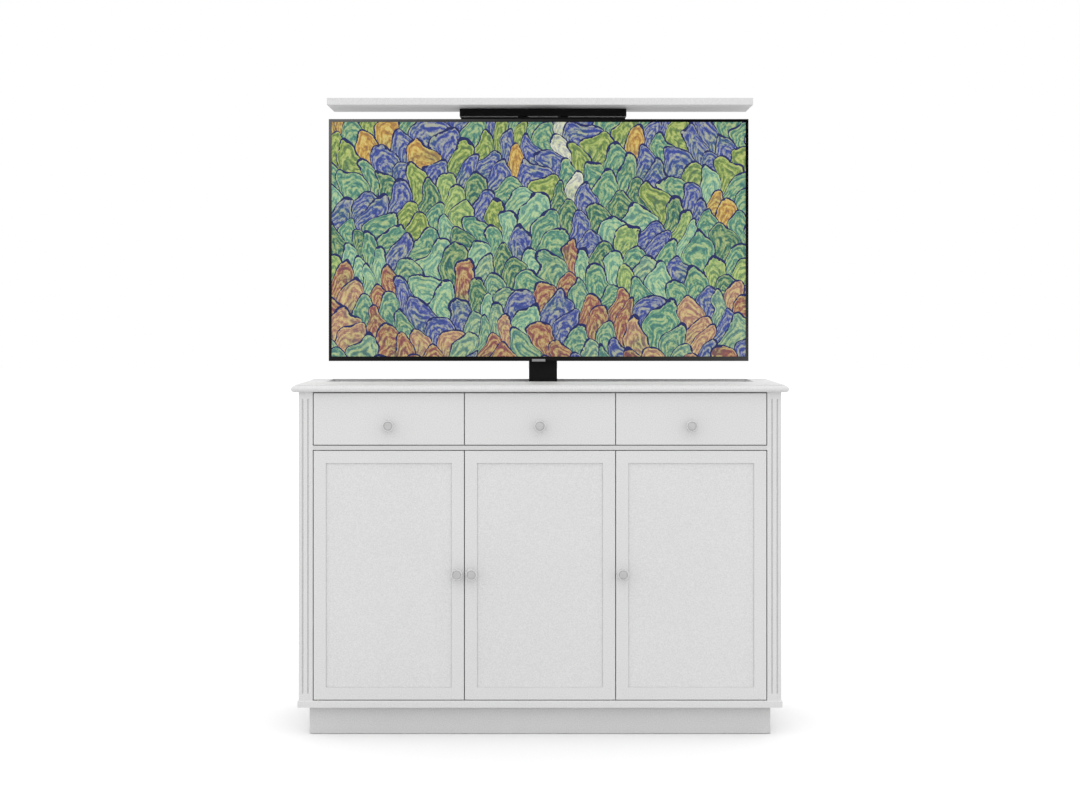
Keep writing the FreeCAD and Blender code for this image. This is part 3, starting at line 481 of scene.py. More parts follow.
def turned_nickel():
    finish = Finish("satin_nickel", metallic=1.0)
    turning = finish.place.node("Attribute", {"attribute_name": "turning"}, output=2)
    line = finish.place.node("CombineXYZ", {}, {0: turning})
    rings = line.noise(2600, 2, 0.6)
    cloud = finish.place.noise(60, 2)
    tone = ((rings - 0.5) * 0.5 + cloud).clamped()
    return finish.feed(
        base_color=(turning < disc_edge).mix(
            tone.mix(grey(216), grey(236)), tone.mix(grey(198), grey(216))
        ),
        roughness=0.40 + (rings - 0.5) * 0.14,
        normal=rings.bump(0.10, 0.0002),
    )


nickel = turned_nickel()

# %% [markdown]
# ## The picture on the display
#
# The display shows a made-up pattern: rows of rounded hills, one behind another like the scales
# of a fish, each brushed with stripes that follow its back. It could be painted as an image, but
# a picture that is worked out by the finish stays sharp at any size and needs no file. The sums
# look at five rows, from the back to the front. In each row they find the nearest hill and how
# deep inside it a point lies. A hill in front covers what is behind it. The depth that is left
# at the end draws the dark outline and the stripes, and the direction from the hill's foot lays
# the brush strokes along them.

# %% Sizes and colours of the pattern
screen_low, screen_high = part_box("tv_screen")
picture_height = screen_high.z - screen_low.z
hill_width = 0.096
row_height = 0.040
rows_seen = 5
outline_width = 0.0026
stripe_width = 0.0100
# how far noises push the hills aside and up, so that the rows don't look ruled
ripple_reach, sway_reach = 0.22, 0.08
# a narrow hill is this flat and this wide, and the widest has the whole spread added
least_flat, flat_spread = 0.31, 0.24
least_wide, wide_spread = 0.41, 0.09
# each row is set off from the row behind by this share of a hill
row_shift = 0.37
# up to these shares of the height, hills take the colours of the foot and of the middle
foot_ends, middle_ends = 0.20, 0.60

outline_blue = colour(38, 46, 98)
straw = colour(222, 222, 150)
moss = colour(74, 128, 92)
# a share of the hills, from this number up, has each colour: at the foot, the middle, the head
low_colours = [
    (0.00, colour(172, 104, 80)), (0.26, colour(104, 160, 136)), (0.46, colour(196, 146, 116)),
    (0.60, colour(78, 94, 172)), (0.84, colour(126, 170, 146)),
]
middle_colours = [
    (0.00, colour(98, 162, 132)), (0.32, colour(134, 190, 160)), (0.60, colour(70, 130, 98)),
    (0.76, colour(74, 92, 174)), (0.88, colour(146, 182, 104)),
]
high_colours = [
    (0.00, colour(72, 90, 174)), (0.28, colour(134, 164, 70)), (0.52, colour(96, 158, 130)),
    (0.83, colour(210, 158, 60)), (0.90, colour(222, 226, 212)),
]


# %% Rows of hills
def hills(place):
    """Returns the front hill at a point: the point's place on it, its depth, and its lots."""
    ripple = place.noise(5.0, 2)
    sway = place.noise(8.0, 2)
    across = place.part("X") - screen_low.x + (ripple - 0.5) * ripple_reach
    up = place.part("Z") - screen_low.z + (sway - 0.5) * sway_reach
    back_row = (up / row_height).whole()
    front = None
    for step in range(rows_seen):
        row = back_row - step
        along = across / hill_width + row * row_shift
        hill = along.whole()
        spot = place.node("CombineXYZ", {}, {0: hill, 1: row, 2: 3.0})
        drawn = spot.node("TexWhiteNoise", {"noise_dimensions": "3D"}, {0: spot}, output=1)
        width_lot = drawn.node("SeparateColor", {}, {0: drawn}, output=2)
        aside = (along - hill - 0.5) * hill_width
        above = (up - row * row_height) * (least_flat + width_lot * flat_spread)
        here = place.node("CombineXYZ", {}, {0: aside, 1: above, 2: row})
        flat_here = here.scaled(1, 1, 0)
        distance = here.node("VectorMath", {"operation": "LENGTH"}, {0: flat_here}, output=1)
        inside = (least_wide + width_lot * wide_spread) * hill_width - distance
        if front is None:
            front, depth, lots = here, inside, drawn
        else:
            covers = inside > 0.0
            front = covers.mix(front, here)
            depth = depth + covers * (inside - depth)
            lots = covers.mix(lots, drawn)
    return front, depth, lots


def hill_colour(row, lots):
    """Returns the flat colour of a hill, from its lots and from the row it stands in."""
    choice = lots.node("SeparateColor", {}, {0: lots}, output=0)
    stray = lots.node("SeparateColor", {}, {0: lots}, output=1)
    level = row * (row_height / picture_height) + (stray - 0.5) * 0.42
    low, middle, high = (
        choice.node("ValToRGB", {"steps": steps}, {0: choice})
        for steps in (low_colours, middle_colours, high_colours)
    )
    return (level > middle_ends).mix((level > foot_ends).mix(low, middle), high)


# %% The display's finish
def display_finish():
    finish = Finish("display", specular=0.2)
    place = finish.place
    front, depth, lots = hills(place)
    row = front.part("Z")
    flat = hill_colour(row, lots)
    turn = front.math("ARCTAN2", front.part("Y"), front.part("X"))
    run = place.node("CombineXYZ", {}, {0: turn * 3.2, 1: depth * 330.0, 2: row * 3.7})
    strokes = run.noise(1.0, 2, 0.6)
    wobble = place.noise(45, 2, 0.6)
    dabs = place.noise(170, 2, 0.7)
    patches = place.noise(16, 2)
    stripe = (depth * (2 * math.pi / stripe_width) + (wobble - 0.5) * 9.0).sine() * 0.5 + 0.5
    light = (stripe * 0.5 + (strokes - 0.5) * 2.2 + (dabs - 0.5) * 1.1 + 0.3).clamped()
    tinted = ((patches - 0.5) * 2.0).clamped().mix(flat, moss)
    shaded = (0.55 - light * 0.7).clamped().mix(tinted, outline_blue)
    brushed = ((light - 0.4) * 0.9).clamped().mix(shaded, straw)
    rim = (depth + (wobble - 0.5) * 0.010) < outline_width
    picture = rim.mix(brushed, outline_blue)
    behind = place.part("Y") > (screen_low.y + 0.001)
    return finish.feed(base_color=behind.mix(picture, grey(24)), roughness=0.38)


display = display_finish()
print("nodes in the display's finish:", len(display.node_tree.nodes))

# %% [markdown]
# ## Every frame piece gets its finish
#
# The frame names each piece's finish by a slot, such as paint or zinc. One table turns those
# names into the finishes made above.

# %% Dress the frame
finishes = {
    "paint": paint,
    "carcase": faced_board,
    "drawer_wood": birch,
    "knob_metal": nickel,
    "pivot_brass": pin_nickel,
    "nut_brass": nut_brass,
    "zinc": zinc,
    "black_aluminium": black_aluminium,
    "black_steel": black_steel,
    "motor_grey": motor_grey,
    "white_plastic": white_plastic,
    "grey_plastic": grey_plastic,
    "rubber": rubber,
    "tv_black": tv_black,
    "tv_cover": tv_cover,
    "screen": display,
}
for name, node in nodes.items():
    for holder in node.material_slots:
        holder.material = finishes[holder.material.name.split(".")[0]]
# the plinth's paint is a shade darker: painted shade under the moulding that overhangs it
nodes["plinth"].material_slots[0].material = plinth_shaded_paint
nodes["fluted_posts"].material_slots[0].material = post_paint_flute_shade
print("dressed:", len(nodes))

# %% [markdown]
# ## Modelling by hand
#
# The pieces below are made as one would make them at the desk: start from a simple shape at its
# real size, then select, extrude, inset and bevel. A few helpers add the simple shapes, do the
# selecting and clear up. Everything is deselected first, because an operator works on all that is
# selected.


# %% Helpers for modelling
def start(name):
    """Names the primitive that was just added, and puts its size and place into its mesh."""
    piece = bpy.context.object
    piece.name = name
    piece.data.name = name
    bpy.ops.object.transform_apply(location=True, rotation=True, scale=True)
    return piece


def block(name, centre, size):
    """Adds a block round that centre."""
    bpy.ops.object.select_all(action="DESELECT")
    bpy.ops.mesh.primitive_cube_add(size=1, location=centre, scale=size)
    return start(name)


def rod(name, sides, radius, length, centre, lying=False):
    """Adds a rod with that many sides. It stands upright, or lies along Y."""
    bpy.ops.object.select_all(action="DESELECT")
    bpy.ops.mesh.primitive_cylinder_add(
        vertices=sides, radius=radius, depth=length, location=centre,
        rotation=(math.radians(90) if lying else 0, 0, 0),
    )
    return start(name)


def edit(piece, kind="FACE"):
    """Opens one piece for editing, with nothing selected."""
    bpy.ops.object.select_all(action="DESELECT")
    piece.select_set(True)
    bpy.context.view_layer.objects.active = piece
    bpy.ops.object.mode_set(mode="EDIT")
    bpy.ops.mesh.select_mode(type=kind)
    bpy.ops.mesh.select_all(action="DESELECT")


def choose(piece, kind, wanted):
    """Selects the faces or edges that wanted accepts, and says how many there were."""
    mesh = bmesh.from_edit_mesh(piece.data)
    items = {"FACE": mesh.faces, "EDGE": mesh.edges}[kind]
    count = 0
    for item in items:
        item.select_set(False)
    for item in items:
        if wanted(item):
            item.select_set(True)
            count += 1
    bmesh.update_edit_mesh(piece.data)
    return count


def lies_at(edge, axis, value):
    """True when both ends of an edge have that x, y or z."""
    return all(abs(getattr(point.co, axis) - value) < 1e-5 for point in edge.verts)


def close(piece):
    """Leaves edit mode."""
    bpy.ops.object.mode_set(mode="OBJECT")
    piece.select_set(False)


def in_mm(piece):
    """How wide, deep and high a piece is, in millimetres."""
    return [round(value * 1000, 1) for value in piece.dimensions]


def fit_out(piece, finish, body, slot, *replaced):
    """Gives a finished piece its finish, its body and the frame pieces that it stands for."""
    piece.data.materials.clear()
    piece.data.materials.append(finish)
    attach(piece, body)
    if replaced:
        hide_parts(*replaced)


# %% [markdown]
# ## Turned knobs
#
# Each knob is turned from one piece: a foot, a waisted neck, a rolled rim and a shallow dish
# with a raised disc inside. It could be spun from a drawn outline. Here it grows instead from a
# low cylinder: its front is pushed out and scaled, step by step, along the outline. A
# subdivision surface then rounds the steps, and pairs of close rings keep the crisp edges.

# %% Model one knob
knob_low, knob_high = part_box("centre_drawer_knob")
knob_radius = (knob_high.x - knob_low.x) / 2
foot_share, foot_height = 0.53, 0.001
knob = rod("knob", 32, foot_share * knob_radius, foot_height, (0, -foot_height / 2, 0), lying=True)

# radius as a share of the knob's radius, and how far from the front
outline = [
    (0.53, 0.0020), (0.50, 0.0024), (0.40, 0.0046), (0.33, 0.0078), (0.34, 0.0110),
    (0.42, 0.0136), (0.62, 0.0152), (0.84, 0.0172), (0.97, 0.0198), (1.00, 0.0224),
    (0.985, 0.0250), (0.945, 0.0269), (0.89, 0.0277), (0.83, 0.0280), (0.77, 0.0279),
    (0.735, 0.0274), (0.725, 0.0258), (0.705, 0.0250), (0.665, 0.0250), (0.65, 0.0256),
    (0.64, 0.0264), (0.60, 0.0267), (0.40, 0.0268), (0.15, 0.0268),
]
edit(knob)
choose(knob, "FACE", lambda face: face.normal.y < -0.9)
radius, out = foot_share, foot_height
for next_radius, next_out in outline:
    push = (0, out - next_out, 0)
    bpy.ops.mesh.extrude_region_move(TRANSFORM_OT_translate={"value": push})
    share = next_radius / radius
    bpy.ops.transform.resize(value=(share, 1, share))
    radius, out = next_radius, next_out
close(knob)
bpy.context.view_layer.objects.active = knob
smooth = knob.modifiers.new("rounding", "SUBSURF")
smooth.levels = smooth.render_levels = 2
bpy.ops.object.modifier_apply(modifier=smooth.name)
slant = 0.3
turning = knob.data.attributes.new("turning", "FLOAT", "POINT")
for point, mark in zip(knob.data.vertices, turning.data):
    mark.value = math.hypot(point.co.x, point.co.z) + slant * point.co.y
knob.data.shade_smooth()
print("knob:", in_mm(knob), "mm, frame", knob_radius * 2000)

# %% Put a knob on every door and drawer
doors = ("left_door", "centre_door", "right_door")
drawers = ("left_drawer", "centre_drawer", "right_drawer")
for body in doors + drawers:
    low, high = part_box(body + "_knob")
    turned = knob.copy()
    turned.data = knob.data.copy()
    turned.name = body + "_turned_knob"
    bpy.context.scene.collection.objects.link(turned)
    turned.data.transform(Matrix.Translation(((low.x + high.x) / 2, high.y, (low.z + high.z) / 2)))
    fit_out(turned, nickel, body, "knob_metal", body + "_knob")
bpy.data.objects.remove(knob)

# %% [markdown]
# ## Door panels
#
# Each door has a flat panel in the grooves of its frame. Where panel and frame meet, a quirk runs
# round the panel: a slit less than a millimetre wide, which hides that the panel moves a little
# with the weather and draws the thin shadow line of a framed door. A dark line in the paint would
# look the same from the front but flat from the side, so the slit is really cut. It starts from a
# board of the panel's size: the face is inset to the frame's edge, pushed in, inset by the width
# of the slit and brought out again.

# %% Model the panels
held_in_groove, quirk_width, quirk_depth, quirk_edge = 0.0070, 0.0007, 0.0008, 0.0002
for body in doors:
    low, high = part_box(body + "_panel")
    board = block(body + "_quirked_panel", (low + high) / 2, high - low)
    edit(board)
    choose(board, "FACE", lambda face: face.normal.y < -0.9)
    bpy.ops.mesh.inset(thickness=held_in_groove, depth=0)
    bpy.ops.mesh.extrude_region_move(TRANSFORM_OT_translate={"value": (0, quirk_depth, 0)})
    bpy.ops.mesh.inset(thickness=quirk_width, depth=0)
    bpy.ops.mesh.extrude_region_move(TRANSFORM_OT_translate={"value": (0, -quirk_depth, 0)})
    field_x = high.x - held_in_groove - quirk_width
    field_z = high.z - held_in_groove - quirk_width
    middle_x, middle_z = (low.x + high.x) / 2, (low.z + high.z) / 2
    rims = choose(board, "EDGE", lambda edge: lies_at(edge, "y", low.y) and all(
        abs(point.co.x - middle_x) < field_x - middle_x + 1e-5
        and abs(point.co.z - middle_z) < field_z - middle_z + 1e-5
        for point in edge.verts
    ))
    bpy.ops.mesh.bevel(offset=quirk_edge, segments=2, affect="EDGES")
    close(board)
    fit_out(board, paint, body, "paint", body + "_panel")
    print(board.name, "field edges", rims, in_mm(board))

# %% [markdown]
# ## The television's frame
#
# The frame is a slim moulding with softly rounded edges on its front, inside and out. The frame
# model builds it from four mitred bars. Here it is one ring, so that the rounding runs round the
# corners. It is cut from a block: the front and back are inset to the glass, the two inner faces
# are joined through the block, and the edges are bevelled.

# %% Model the frame
frame_low, frame_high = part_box("tv_frame")
middle = (frame_low + frame_high) / 2
frame_edge = 0.0012
bezel = block("tv_bezel", middle, frame_high - frame_low)
side = screen_low.x - frame_low.x
foot = screen_low.z - frame_low.z
head = frame_high.z - screen_high.z
edit(bezel)
choose(bezel, "FACE", lambda face: abs(face.normal.y) > 0.9)
bpy.ops.mesh.inset(thickness=side, depth=0)
for height, push in ((frame_low.z + side, foot - side), (frame_high.z - side, side - head)):
    choose(bezel, "EDGE", lambda edge: lies_at(edge, "z", height))
    bpy.ops.transform.translate(value=(0, 0, push))
found = choose(
    bezel, "FACE",
    lambda face: abs(face.normal.y) > 0.9 and abs(face.calc_center_median().x - middle.x) < 0.01
    and abs(face.calc_center_median().z - middle.z) < 0.05,
)
bpy.ops.mesh.bridge_edge_loops()
rims = choose(
    bezel, "EDGE",
    lambda edge: lies_at(edge, "y", frame_low.y)
    and sum(face.normal.y < -0.9 for face in edge.link_faces) == 1,
)
bpy.ops.mesh.bevel(offset=frame_edge, segments=3, affect="EDGES")
close(bezel)
bezel.data.shade_smooth()
bpy.ops.object.select_all(action="DESELECT")
bezel.select_set(True)
bpy.context.view_layer.objects.active = bezel
bpy.ops.object.shade_smooth_by_angle(angle=math.radians(30))
fit_out(bezel, tv_black, "lift_carriage", "tv_black", "tv_frame")
print("frame: inner faces", found, "rim edges", rims)

# %% [markdown]
# ## The plate on the lower bar
#
# A small bare metal plate is set in the middle of the lower bar and hangs a little below it.
# Being so small, it shows mostly by its bright edges. So it is a block with bevelled edges and a
# shallow lip round its face, made by two insets, of which the second lowers the middle.

# %% Model the plate
plate_width, plate_height, plate_depth = 0.0391, 0.0076, 0.0042
plate_in, plate_up, plate_edge = 0.0012, 0.0022, 0.0004
lip_width, lip_slope, lip_height = 0.0007, 0.0002, 0.0003
plate_at = Vector((middle.x, frame_low.y + plate_in, frame_low.z + plate_up))
plate_front = plate_at.y - plate_depth / 2
plate = block("bezel_plate", plate_at, (plate_width, plate_depth, plate_height))
edit(plate)
choose(plate, "FACE", lambda face: face.normal.y < -0.9)
bpy.ops.mesh.inset(thickness=lip_width, depth=0)
bpy.ops.mesh.inset(thickness=lip_slope, depth=-lip_height)
choose(plate, "EDGE", lambda edge: lies_at(edge, "y", plate_front) and all(
    abs(abs(point.co.x - plate_at.x) - plate_width / 2) < 1e-5
    or abs(abs(point.co.z - plate_at.z) - plate_height / 2) < 1e-5
    for point in edge.verts
))
bpy.ops.mesh.bevel(offset=plate_edge, segments=2, affect="EDGES")
close(plate)
fit_out(plate, plate_steel, "lift_carriage", "zinc")

# %% [markdown]
# ## Screws and bolts
#
# Two kinds of fastener hold most of it: a pan-head screw with a cross in it, and a hexagon bolt
# on its washer. Each is modelled once, standing upright at the origin. The cross is made in a
# low cylinder with sixteen sides: its top is inset to a small middle, and every fourth field
# round the middle is pushed down with it. Copies are then turned to face the way they are driven,
# set in place and joined into one piece for each row of them. An array could repeat them too,
# but the places are uneven.

# %% Model a screw
screw_radius, screw_proud, screw_sunk, screw_sides = 0.0036, 0.0012, 0.0004, 16
head_rounding, cross_rim, cross_arm, cross_depth = 0.0007, 0.0004, 0.0018, 0.0006
pan_screw = rod(
    "pan_screw", screw_sides, screw_radius, screw_proud + screw_sunk,
    (0, 0, screw_proud / 2 - screw_sunk / 2),
)
edit(pan_screw)
choose(pan_screw, "EDGE", lambda edge: lies_at(edge, "z", screw_proud))
bpy.ops.mesh.bevel(offset=head_rounding, segments=2, affect="EDGES")
choose(pan_screw, "FACE", lambda face: face.normal.z > 0.99)
bpy.ops.mesh.inset(thickness=cross_rim, depth=0)
bpy.ops.mesh.inset(thickness=cross_arm, depth=0)


def in_cross(face):
    """True for the middle of the screw's top, and for every fourth field round it."""
    x, y, z = face.calc_center_median()
    away = math.hypot(x, y)
    field = round(math.atan2(x, y) / (2 * math.pi / screw_sides) - 0.5)
    on_top = z > screw_proud - 0.0001
    return on_top and (away < 0.0002 or away < cross_arm and field % 4 == 0)


fields = choose(pan_screw, "FACE", in_cross)
bpy.ops.mesh.extrude_region_move(TRANSFORM_OT_translate={"value": (0, 0, -cross_depth)})
close(pan_screw)
print("screw: fields in the cross", fields, "faces", len(pan_screw.data.polygons))

# %% Model a bolt
washer_radius, washer_height, washer_middle, washer_edge = 0.0058, 0.0012, 0.0003, 0.0003
bolt_radius, bolt_height, bolt_middle = 0.0046, 0.0024, 0.0021
chamfer, chamfer_rise, dish_rim, dish_slope, dish_depth = 0.0005, 0.0003, 0.0009, 0.0002, 0.0004
washer = rod("washer", 24, washer_radius, washer_height, (0, 0, washer_middle))
edit(washer)
choose(washer, "EDGE", lambda edge: lies_at(edge, "z", washer_middle + washer_height / 2))
bpy.ops.mesh.bevel(offset=washer_edge, segments=1, affect="EDGES")
close(washer)
bolt = rod("hexagon_bolt", 6, bolt_radius, bolt_height, (0, 0, bolt_middle))
edit(bolt)
choose(bolt, "FACE", lambda face: face.normal.z > 0.99)
bpy.ops.mesh.inset(thickness=chamfer, depth=chamfer_rise)
bpy.ops.mesh.inset(thickness=dish_rim, depth=0)
bpy.ops.mesh.inset(thickness=dish_slope, depth=-dish_depth)
close(bolt)
washer.select_set(True)
bolt.select_set(True)
bpy.context.view_layer.objects.active = bolt
bpy.ops.object.join()
print("bolt:", in_mm(bolt), "mm")


# %% Copies in place
def set_out(name, model, places, facing, body, finish=zinc, slot="zinc"):
    """Copies a model to each place, given in millimetres, turned from +Z to where it faces."""
    turn = Vector(facing).to_track_quat("Z", "Y").to_matrix().to_4x4()
    bpy.ops.object.select_all(action="DESELECT")
    for place in places:
        twin = model.copy()
        twin.data = model.data.copy()
        bpy.context.scene.collection.objects.link(twin)
        twin.data.transform(Matrix.Translation(Vector(place) / 1000) @ turn)
        twin.select_set(True)
        bpy.context.view_layer.objects.active = twin
    if len(places) > 1:
        bpy.ops.object.join()
    row = bpy.context.object
    row.name = name
    row.data.name = name
    row.select_set(False)
    fit_out(row, finish, body, slot)
    print(name, len(places))
    return row


# %% [markdown]
# ## Fasteners of the column and its brackets
#
# The column stands on four bolts. Eight more hold the two rails to its hanger, eight hold the
# upright channels to the rails, and one in each end of a channel goes into the television. All
# of them have to stay lower than the gap in front of the column, because they pass it when the
# lift comes down.

# %% Bolts of the column
foot_plate_top = 105
feet = [(x, y, foot_plate_top) for x, y in ((-66, 122), (-66, 186), (97, 116), (97, 192))]
set_out("foot_bolts", bolt, feet, (0, 0, 1), "cabinet")

# %% Bolts of the brackets
mount_x, mount_z, mount_reach = -4, 1334, 200
rail_rows = (mount_z - 120, mount_z + 120)
hanger_back, rail_back, channel_back = 112, 108, 96
hanger_bolts = [
    (x, hanger_back, z + rise) for x in (-44, 62) for z in rail_rows for rise in (-10, 10)
]
set_out("hanger_bolts", bolt, hanger_bolts, (0, 1, 0), "lift_carriage")
arm_bolts = [
    (mount_x + reach + shift, rail_back, z)
    for reach in (-mount_reach, mount_reach) for shift in (-11, 11) for z in rail_rows
]
set_out("arm_bolts", bolt, arm_bolts, (0, 1, 0), "lift_carriage")
mount_bolts = [
    (mount_x + reach, channel_back, mount_z + rise)
    for reach in (-mount_reach, mount_reach) for rise in (-mount_reach, mount_reach)
]
set_out("mount_bolts", bolt, mount_bolts, (0, 1, 0), "lift_carriage")

# %% [markdown]
# ## Fasteners of the cabinet
#
# Eight screws hold the loose middle of the back, and sixteen the television's cover. Each knob is
# held from behind by a bolt on its washer, and each drawer's front by two screws through its box.
# The runners are screwed to the walls of their bays and to the drawers, each catch hangs on two
# screws under the deck, and four close the lift's control box. These show only when something is
# open or when one looks from behind, but that is when a cabinet without them looks wrong.

# %% Screws in the back and in the television's cover
back_face = 0.225
panel_screws = [(x, back_face * 1000, z) for x in (-342, 342) for z in (135, 400, 665, 930)]
set_out("back_panel_screws", pan_screw, panel_screws, (0, 1, 0), "cabinet")
cover_edge, cover_back = 69, 93
cover_screws = [(x, cover_edge, z) for x in (-588, -290, 282, 580) for z in (1060, 1726)]
cover_screws += [(x, cover_edge, z) for x in (-588, 580) for z in (1260, 1500)]
cover_screws += [(x, cover_back, z) for x in (-425, 380) for z in (1100, 1560)]
set_out(
    "cover_screws", pan_screw, cover_screws, (0, 1, 0), "lift_carriage", black_steel, "black_steel"
)

# %% Screws of the knobs and catches
front_inside, door_inside = -174, -186
for body in doors + drawers:
    low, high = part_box(body + "_knob")
    behind = front_inside if body in drawers else door_inside
    middle_of_knob = ((low.x + high.x) * 500, behind, (low.z + high.z) * 500)
    set_out(body + "_knob_screw", bolt, [middle_of_knob], (0, 1, 0), body)
catch_y, catch_foot = -177, 783.2
catch_screws = [
    (x + shift, catch_y, catch_foot) for x in (-246.1, -175.8, 246.1) for shift in (-14, 14)
]
set_out("catch_screws", pan_screw, catch_screws, (0, 0, -1), "cabinet")

# %% Screws of the drawer fronts and of the lift's control box
runner_height, end_inset, corner_inset = 873.7, 60, 9
for body in drawers:
    low, high = (corner * 1000 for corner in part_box(body + "_box"))
    ends = (low.x + end_inset, high.x - end_inset)
    front_screws = [(x, front_inside, runner_height) for x in ends]
    set_out(body + "_front_screws", pan_screw, front_screws, (0, 1, 0), body)
low, high = (corner * 1000 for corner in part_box("control_box"))
case_screws = [
    (x, y, high.z)
    for x in (low.x + corner_inset, high.x - corner_inset)
    for y in (low.y + corner_inset, high.y - corner_inset)
]
set_out("case_screws", pan_screw, case_screws, (0, 0, 1), "cabinet")

# %% Screws of the runners
bays = dict(zip(drawers, ((-634.05, -219.95), (-201.95, 201.95), (219.95, 634.05))))
fixed_rail, moving_rail = 1.5, 11.2
fixed_rows, moving_rows = (-160, -95, -30), (-150, -70, -40)
left_walls = [
    (left + fixed_rail, y, runner_height) for left, _ in bays.values() for y in fixed_rows
]
right_walls = [
    (right - fixed_rail, y, runner_height) for _, right in bays.values() for y in fixed_rows
]
set_out("left_runner_screws", pan_screw, left_walls, (1, 0, 0), "cabinet")
set_out("right_runner_screws", pan_screw, right_walls, (-1, 0, 0), "cabinet")
for body, (left, right) in bays.items():
    for side, x, facing in (("left", left + moving_rail, -1), ("right", right - moving_rail, 1)):
        places = [(x, y, runner_height) for y in moving_rows]
        name = body + "_" + side + "_runner_screws"
        set_out(name, pan_screw, places, (facing, 0, 0), body)
for model in (pan_screw, bolt):
    bpy.data.objects.remove(model)

# %% [markdown]
# ## Collars on the column
#
# Each hollow stage ends in a plastic collar that wipes the next stage as it slides, and hides the
# gap between them. It could be an outline with a thickness, but a block gives the rounded corners
# and the height at once. Its uprights are bevelled, its top and bottom are inset, and the two
# middles are joined through, so that it becomes a ring.


# %% Model the collars
column_x, column_y = 0.009, 0.154
tube_wall, wiper = 3.0, 2.4
corner_radius, rim_rounding = 0.0085, 0.0008


def collar(name, size_x, size_y, top, body):
    """A ring on the mouth of a stage of that size, in millimetres."""
    wall, rise, height = 1.5, 2.0, 10.0
    reach = wall + tube_wall + wiper
    ring = block(
        name, (column_x, column_y, (top + rise - height / 2) / 1000),
        ((size_x + 2 * wall) / 1000, (size_y + 2 * wall) / 1000, height / 1000),
    )
    edit(ring)
    choose(ring, "EDGE", lambda edge: abs(edge.verts[0].co.z - edge.verts[1].co.z) > 0.005)
    bpy.ops.mesh.bevel(offset=corner_radius, segments=5, affect="EDGES")
    choose(ring, "FACE", lambda face: abs(face.normal.z) > 0.9)
    bpy.ops.mesh.inset(thickness=reach / 1000, depth=0)
    bpy.ops.mesh.bridge_edge_loops()
    outside = (size_x / 2 + wall) / 1000
    choose(
        ring, "EDGE",
        lambda edge: edge.is_manifold and edge.calc_face_angle() > 1.2
        and max(abs(point.co.x - column_x) for point in edge.verts) > outside - 0.008
        and all(abs(face.normal.x) + abs(face.normal.y) > 0.5 or abs(face.normal.z) > 0.9
                for face in edge.link_faces)
        and lies_at(edge, "z", (top + rise) / 1000),
    )
    bpy.ops.mesh.bevel(offset=rim_rounding, segments=2, affect="EDGES")
    close(ring)
    fit_out(ring, grey_plastic, body, "grey_plastic")
    print(name, in_mm(ring))


collar("outer_collar", 96, 72, 860, "cabinet")
collar("middle_collar", 84, 60, 1301, "middle_stage")

# %% [markdown]
# ## Linings of the holes in the back
#
# A rubber grommet lines the cable outlet, so that the edge of the board can't cut a lead. Two
# small metal eyelets line the holes for the screws that hold the cabinet to the wall. A flange
# and a tube could be two pieces, but one turned shape has no seam between them. All three are
# made the same way. A plug fills the hole, it is sliced level with the board, the slice outside
# is pushed outwards as the flange, and the middle is opened.

# %% Model the linings
def lining(name, x, z, radius, foot, proud, flange, wall, finish, slot):
    """A flanged tube from y = foot through the hole, standing proud of the back."""
    play = 0.0001
    head = back_face + proud
    tube = rod(name, 48, radius - play, head - foot, (x, (foot + head) / 2, z), lying=True)
    edit(tube)
    bpy.ops.mesh.select_all(action="SELECT")
    bpy.ops.mesh.bisect(plane_co=(0, back_face + play, 0), plane_no=(0, 1, 0))
    sides = choose(
        tube, "FACE",
        lambda face: abs(face.normal.y) < 0.1 and face.calc_center_median().y > back_face + play,
    )
    bpy.ops.mesh.extrude_region_shrink_fatten(TRANSFORM_OT_shrink_fatten={"value": flange})
    choose(tube, "FACE", lambda face: abs(face.normal.y) > 0.9 and len(face.verts) > 8)
    bpy.ops.mesh.inset(thickness=wall, depth=0)
    bpy.ops.mesh.bridge_edge_loops()
    choose(tube, "EDGE", lambda edge: lies_at(edge, "y", head) and all(
        math.hypot(point.co.x - x, point.co.z - z) > radius + 0.8 * flange for point in edge.verts
    ))
    bpy.ops.mesh.bevel(offset=0.4 * proud, segments=2, affect="EDGES")
    close(tube)
    fit_out(tube, finish, "cabinet", slot)
    print(name, "flange faces", sides, in_mm(tube))


lining(
    "outlet_grommet", x=0.5, z=0.189, radius=0.030, foot=0.2114, proud=0.0012, flange=0.0045,
    wall=0.0035, finish=rubber, slot="rubber",
)
for side, x in (("right", 0.5), ("left", -0.5)):
    lining(
        side + "_wall_eyelet", x, z=0.929, radius=0.00275, foot=0.2130, proud=0.0008,
        flange=0.0022, wall=0.0006, finish=zinc, slot="zinc",
    )

# %% [markdown]
# ## Foam strips under the lid's bracket
#
# The lid's bracket rests on rubber buffers, three millimetres above its support, so that it can
# settle when the lid closes the slot. Strips of foam fill the rest of that gap and keep the two
# from rattling. They show as a thin grey line with two breaks, where the buffers are. A strip is
# squeezed flat, so there is no need to sculpt it: it is a block with a little rounding along its
# front, which takes the hardness from its edges.

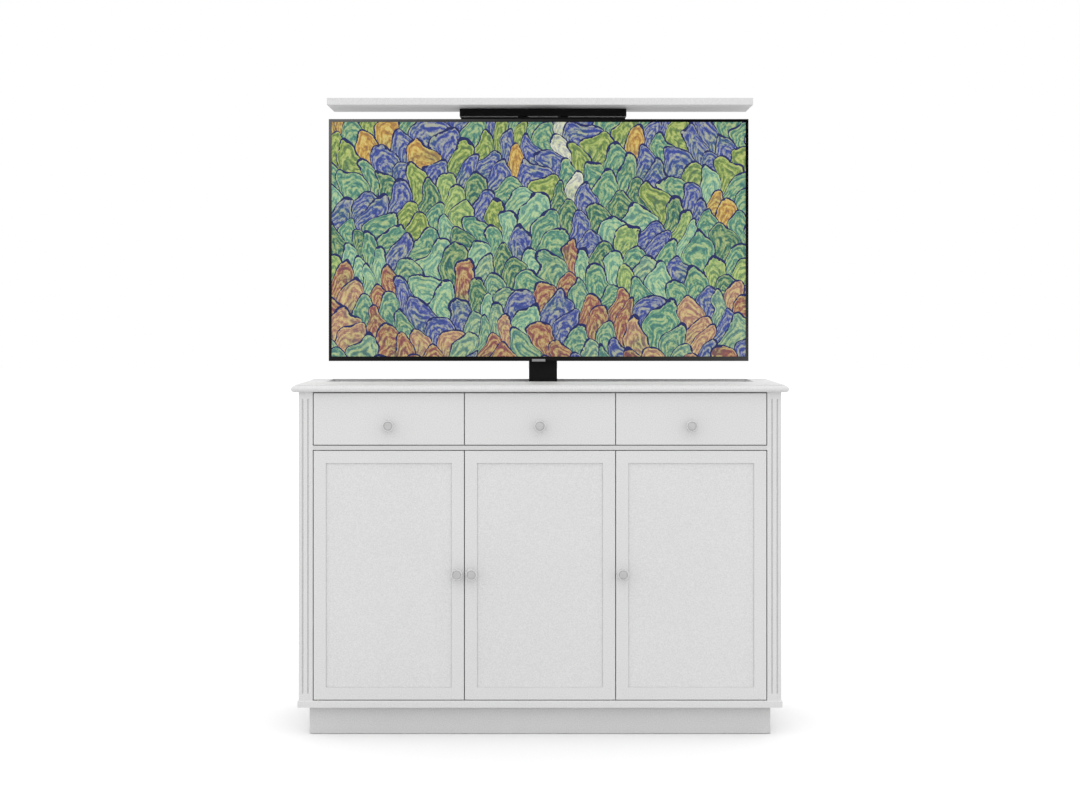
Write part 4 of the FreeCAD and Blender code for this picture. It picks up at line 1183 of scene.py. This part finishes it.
# %% Model the foam strips
support_low, support_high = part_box("lid_support")
gap_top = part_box("lid_bracket")[0].z
strip_depth, strip_inset, strip_play, strip_rounding = 0.012, 0.0004, 0.00005, 0.0003
strip_spans = ((-0.233, -0.066), (-0.036, 0.054), (0.084, 0.251))
strip_front = support_low.y + strip_inset
for number, (left, right) in enumerate(strip_spans, 1):
    strip = block(
        f"foam_strip_{number}",
        ((left + right) / 2, strip_front + strip_depth / 2, (support_high.z + gap_top) / 2),
        (right - left, strip_depth, gap_top - support_high.z - 2 * strip_play),
    )
    edit(strip)
    choose(strip, "EDGE", lambda edge: lies_at(edge, "y", strip_front))
    bpy.ops.mesh.bevel(offset=strip_rounding, segments=2, affect="EDGES")
    close(strip)
    fit_out(strip, foam, "lift_carriage", "grey_plastic")
    print(strip.name, in_mm(strip))

# %% [markdown]
# ## Sockets of the television
#
# The cover's side pocket has four openings. Behind each sits a metal socket. A dark patch on the
# cover could stand for one, but it would give itself away from the side. So a small block's open
# side is inset and pushed in, and a thin wall stays round a dark hole. A tongue stands in the
# middle of the hole, grown from the hole's floor.

# %% Model the sockets
socket_wall_x, socket_y, socket_z, socket_pitch = 413, 81, 1269, 30
socket_size, socket_sunk, socket_edge = (0.0148, 0.0058, 0.0080), 0.0003, 0.0002
socket_wall, hole_depth, tongue_gap, tongue_length = 0.0006, 0.0060, 0.0016, 0.0045
socket = block("socket", (0, 0, -socket_sunk - socket_size[2] / 2), socket_size)
edit(socket)
choose(socket, "FACE", lambda face: face.normal.z > 0.9)
bpy.ops.mesh.inset(thickness=socket_wall, depth=0)
bpy.ops.mesh.extrude_region_move(TRANSFORM_OT_translate={"value": (0, 0, -hole_depth)})
bpy.ops.mesh.inset(thickness=tongue_gap, depth=0)
bpy.ops.mesh.extrude_region_move(TRANSFORM_OT_translate={"value": (0, 0, tongue_length)})
rims = choose(socket, "EDGE", lambda edge: lies_at(edge, "z", -socket_sunk))
bpy.ops.mesh.bevel(offset=socket_edge, segments=1, affect="EDGES")
close(socket)
socket.data.transform(Matrix.Rotation(math.radians(90), 4, "Z"))
sockets = [
    (socket_wall_x, socket_y, socket_z + socket_pitch * step) for step in (-1.5, -0.5, 0.5, 1.5)
]
set_out("cover_sockets", socket, sockets, (1, 0, 0), "lift_carriage", plate_steel)
bpy.data.objects.remove(socket)
print("sockets: rim edges", rims)
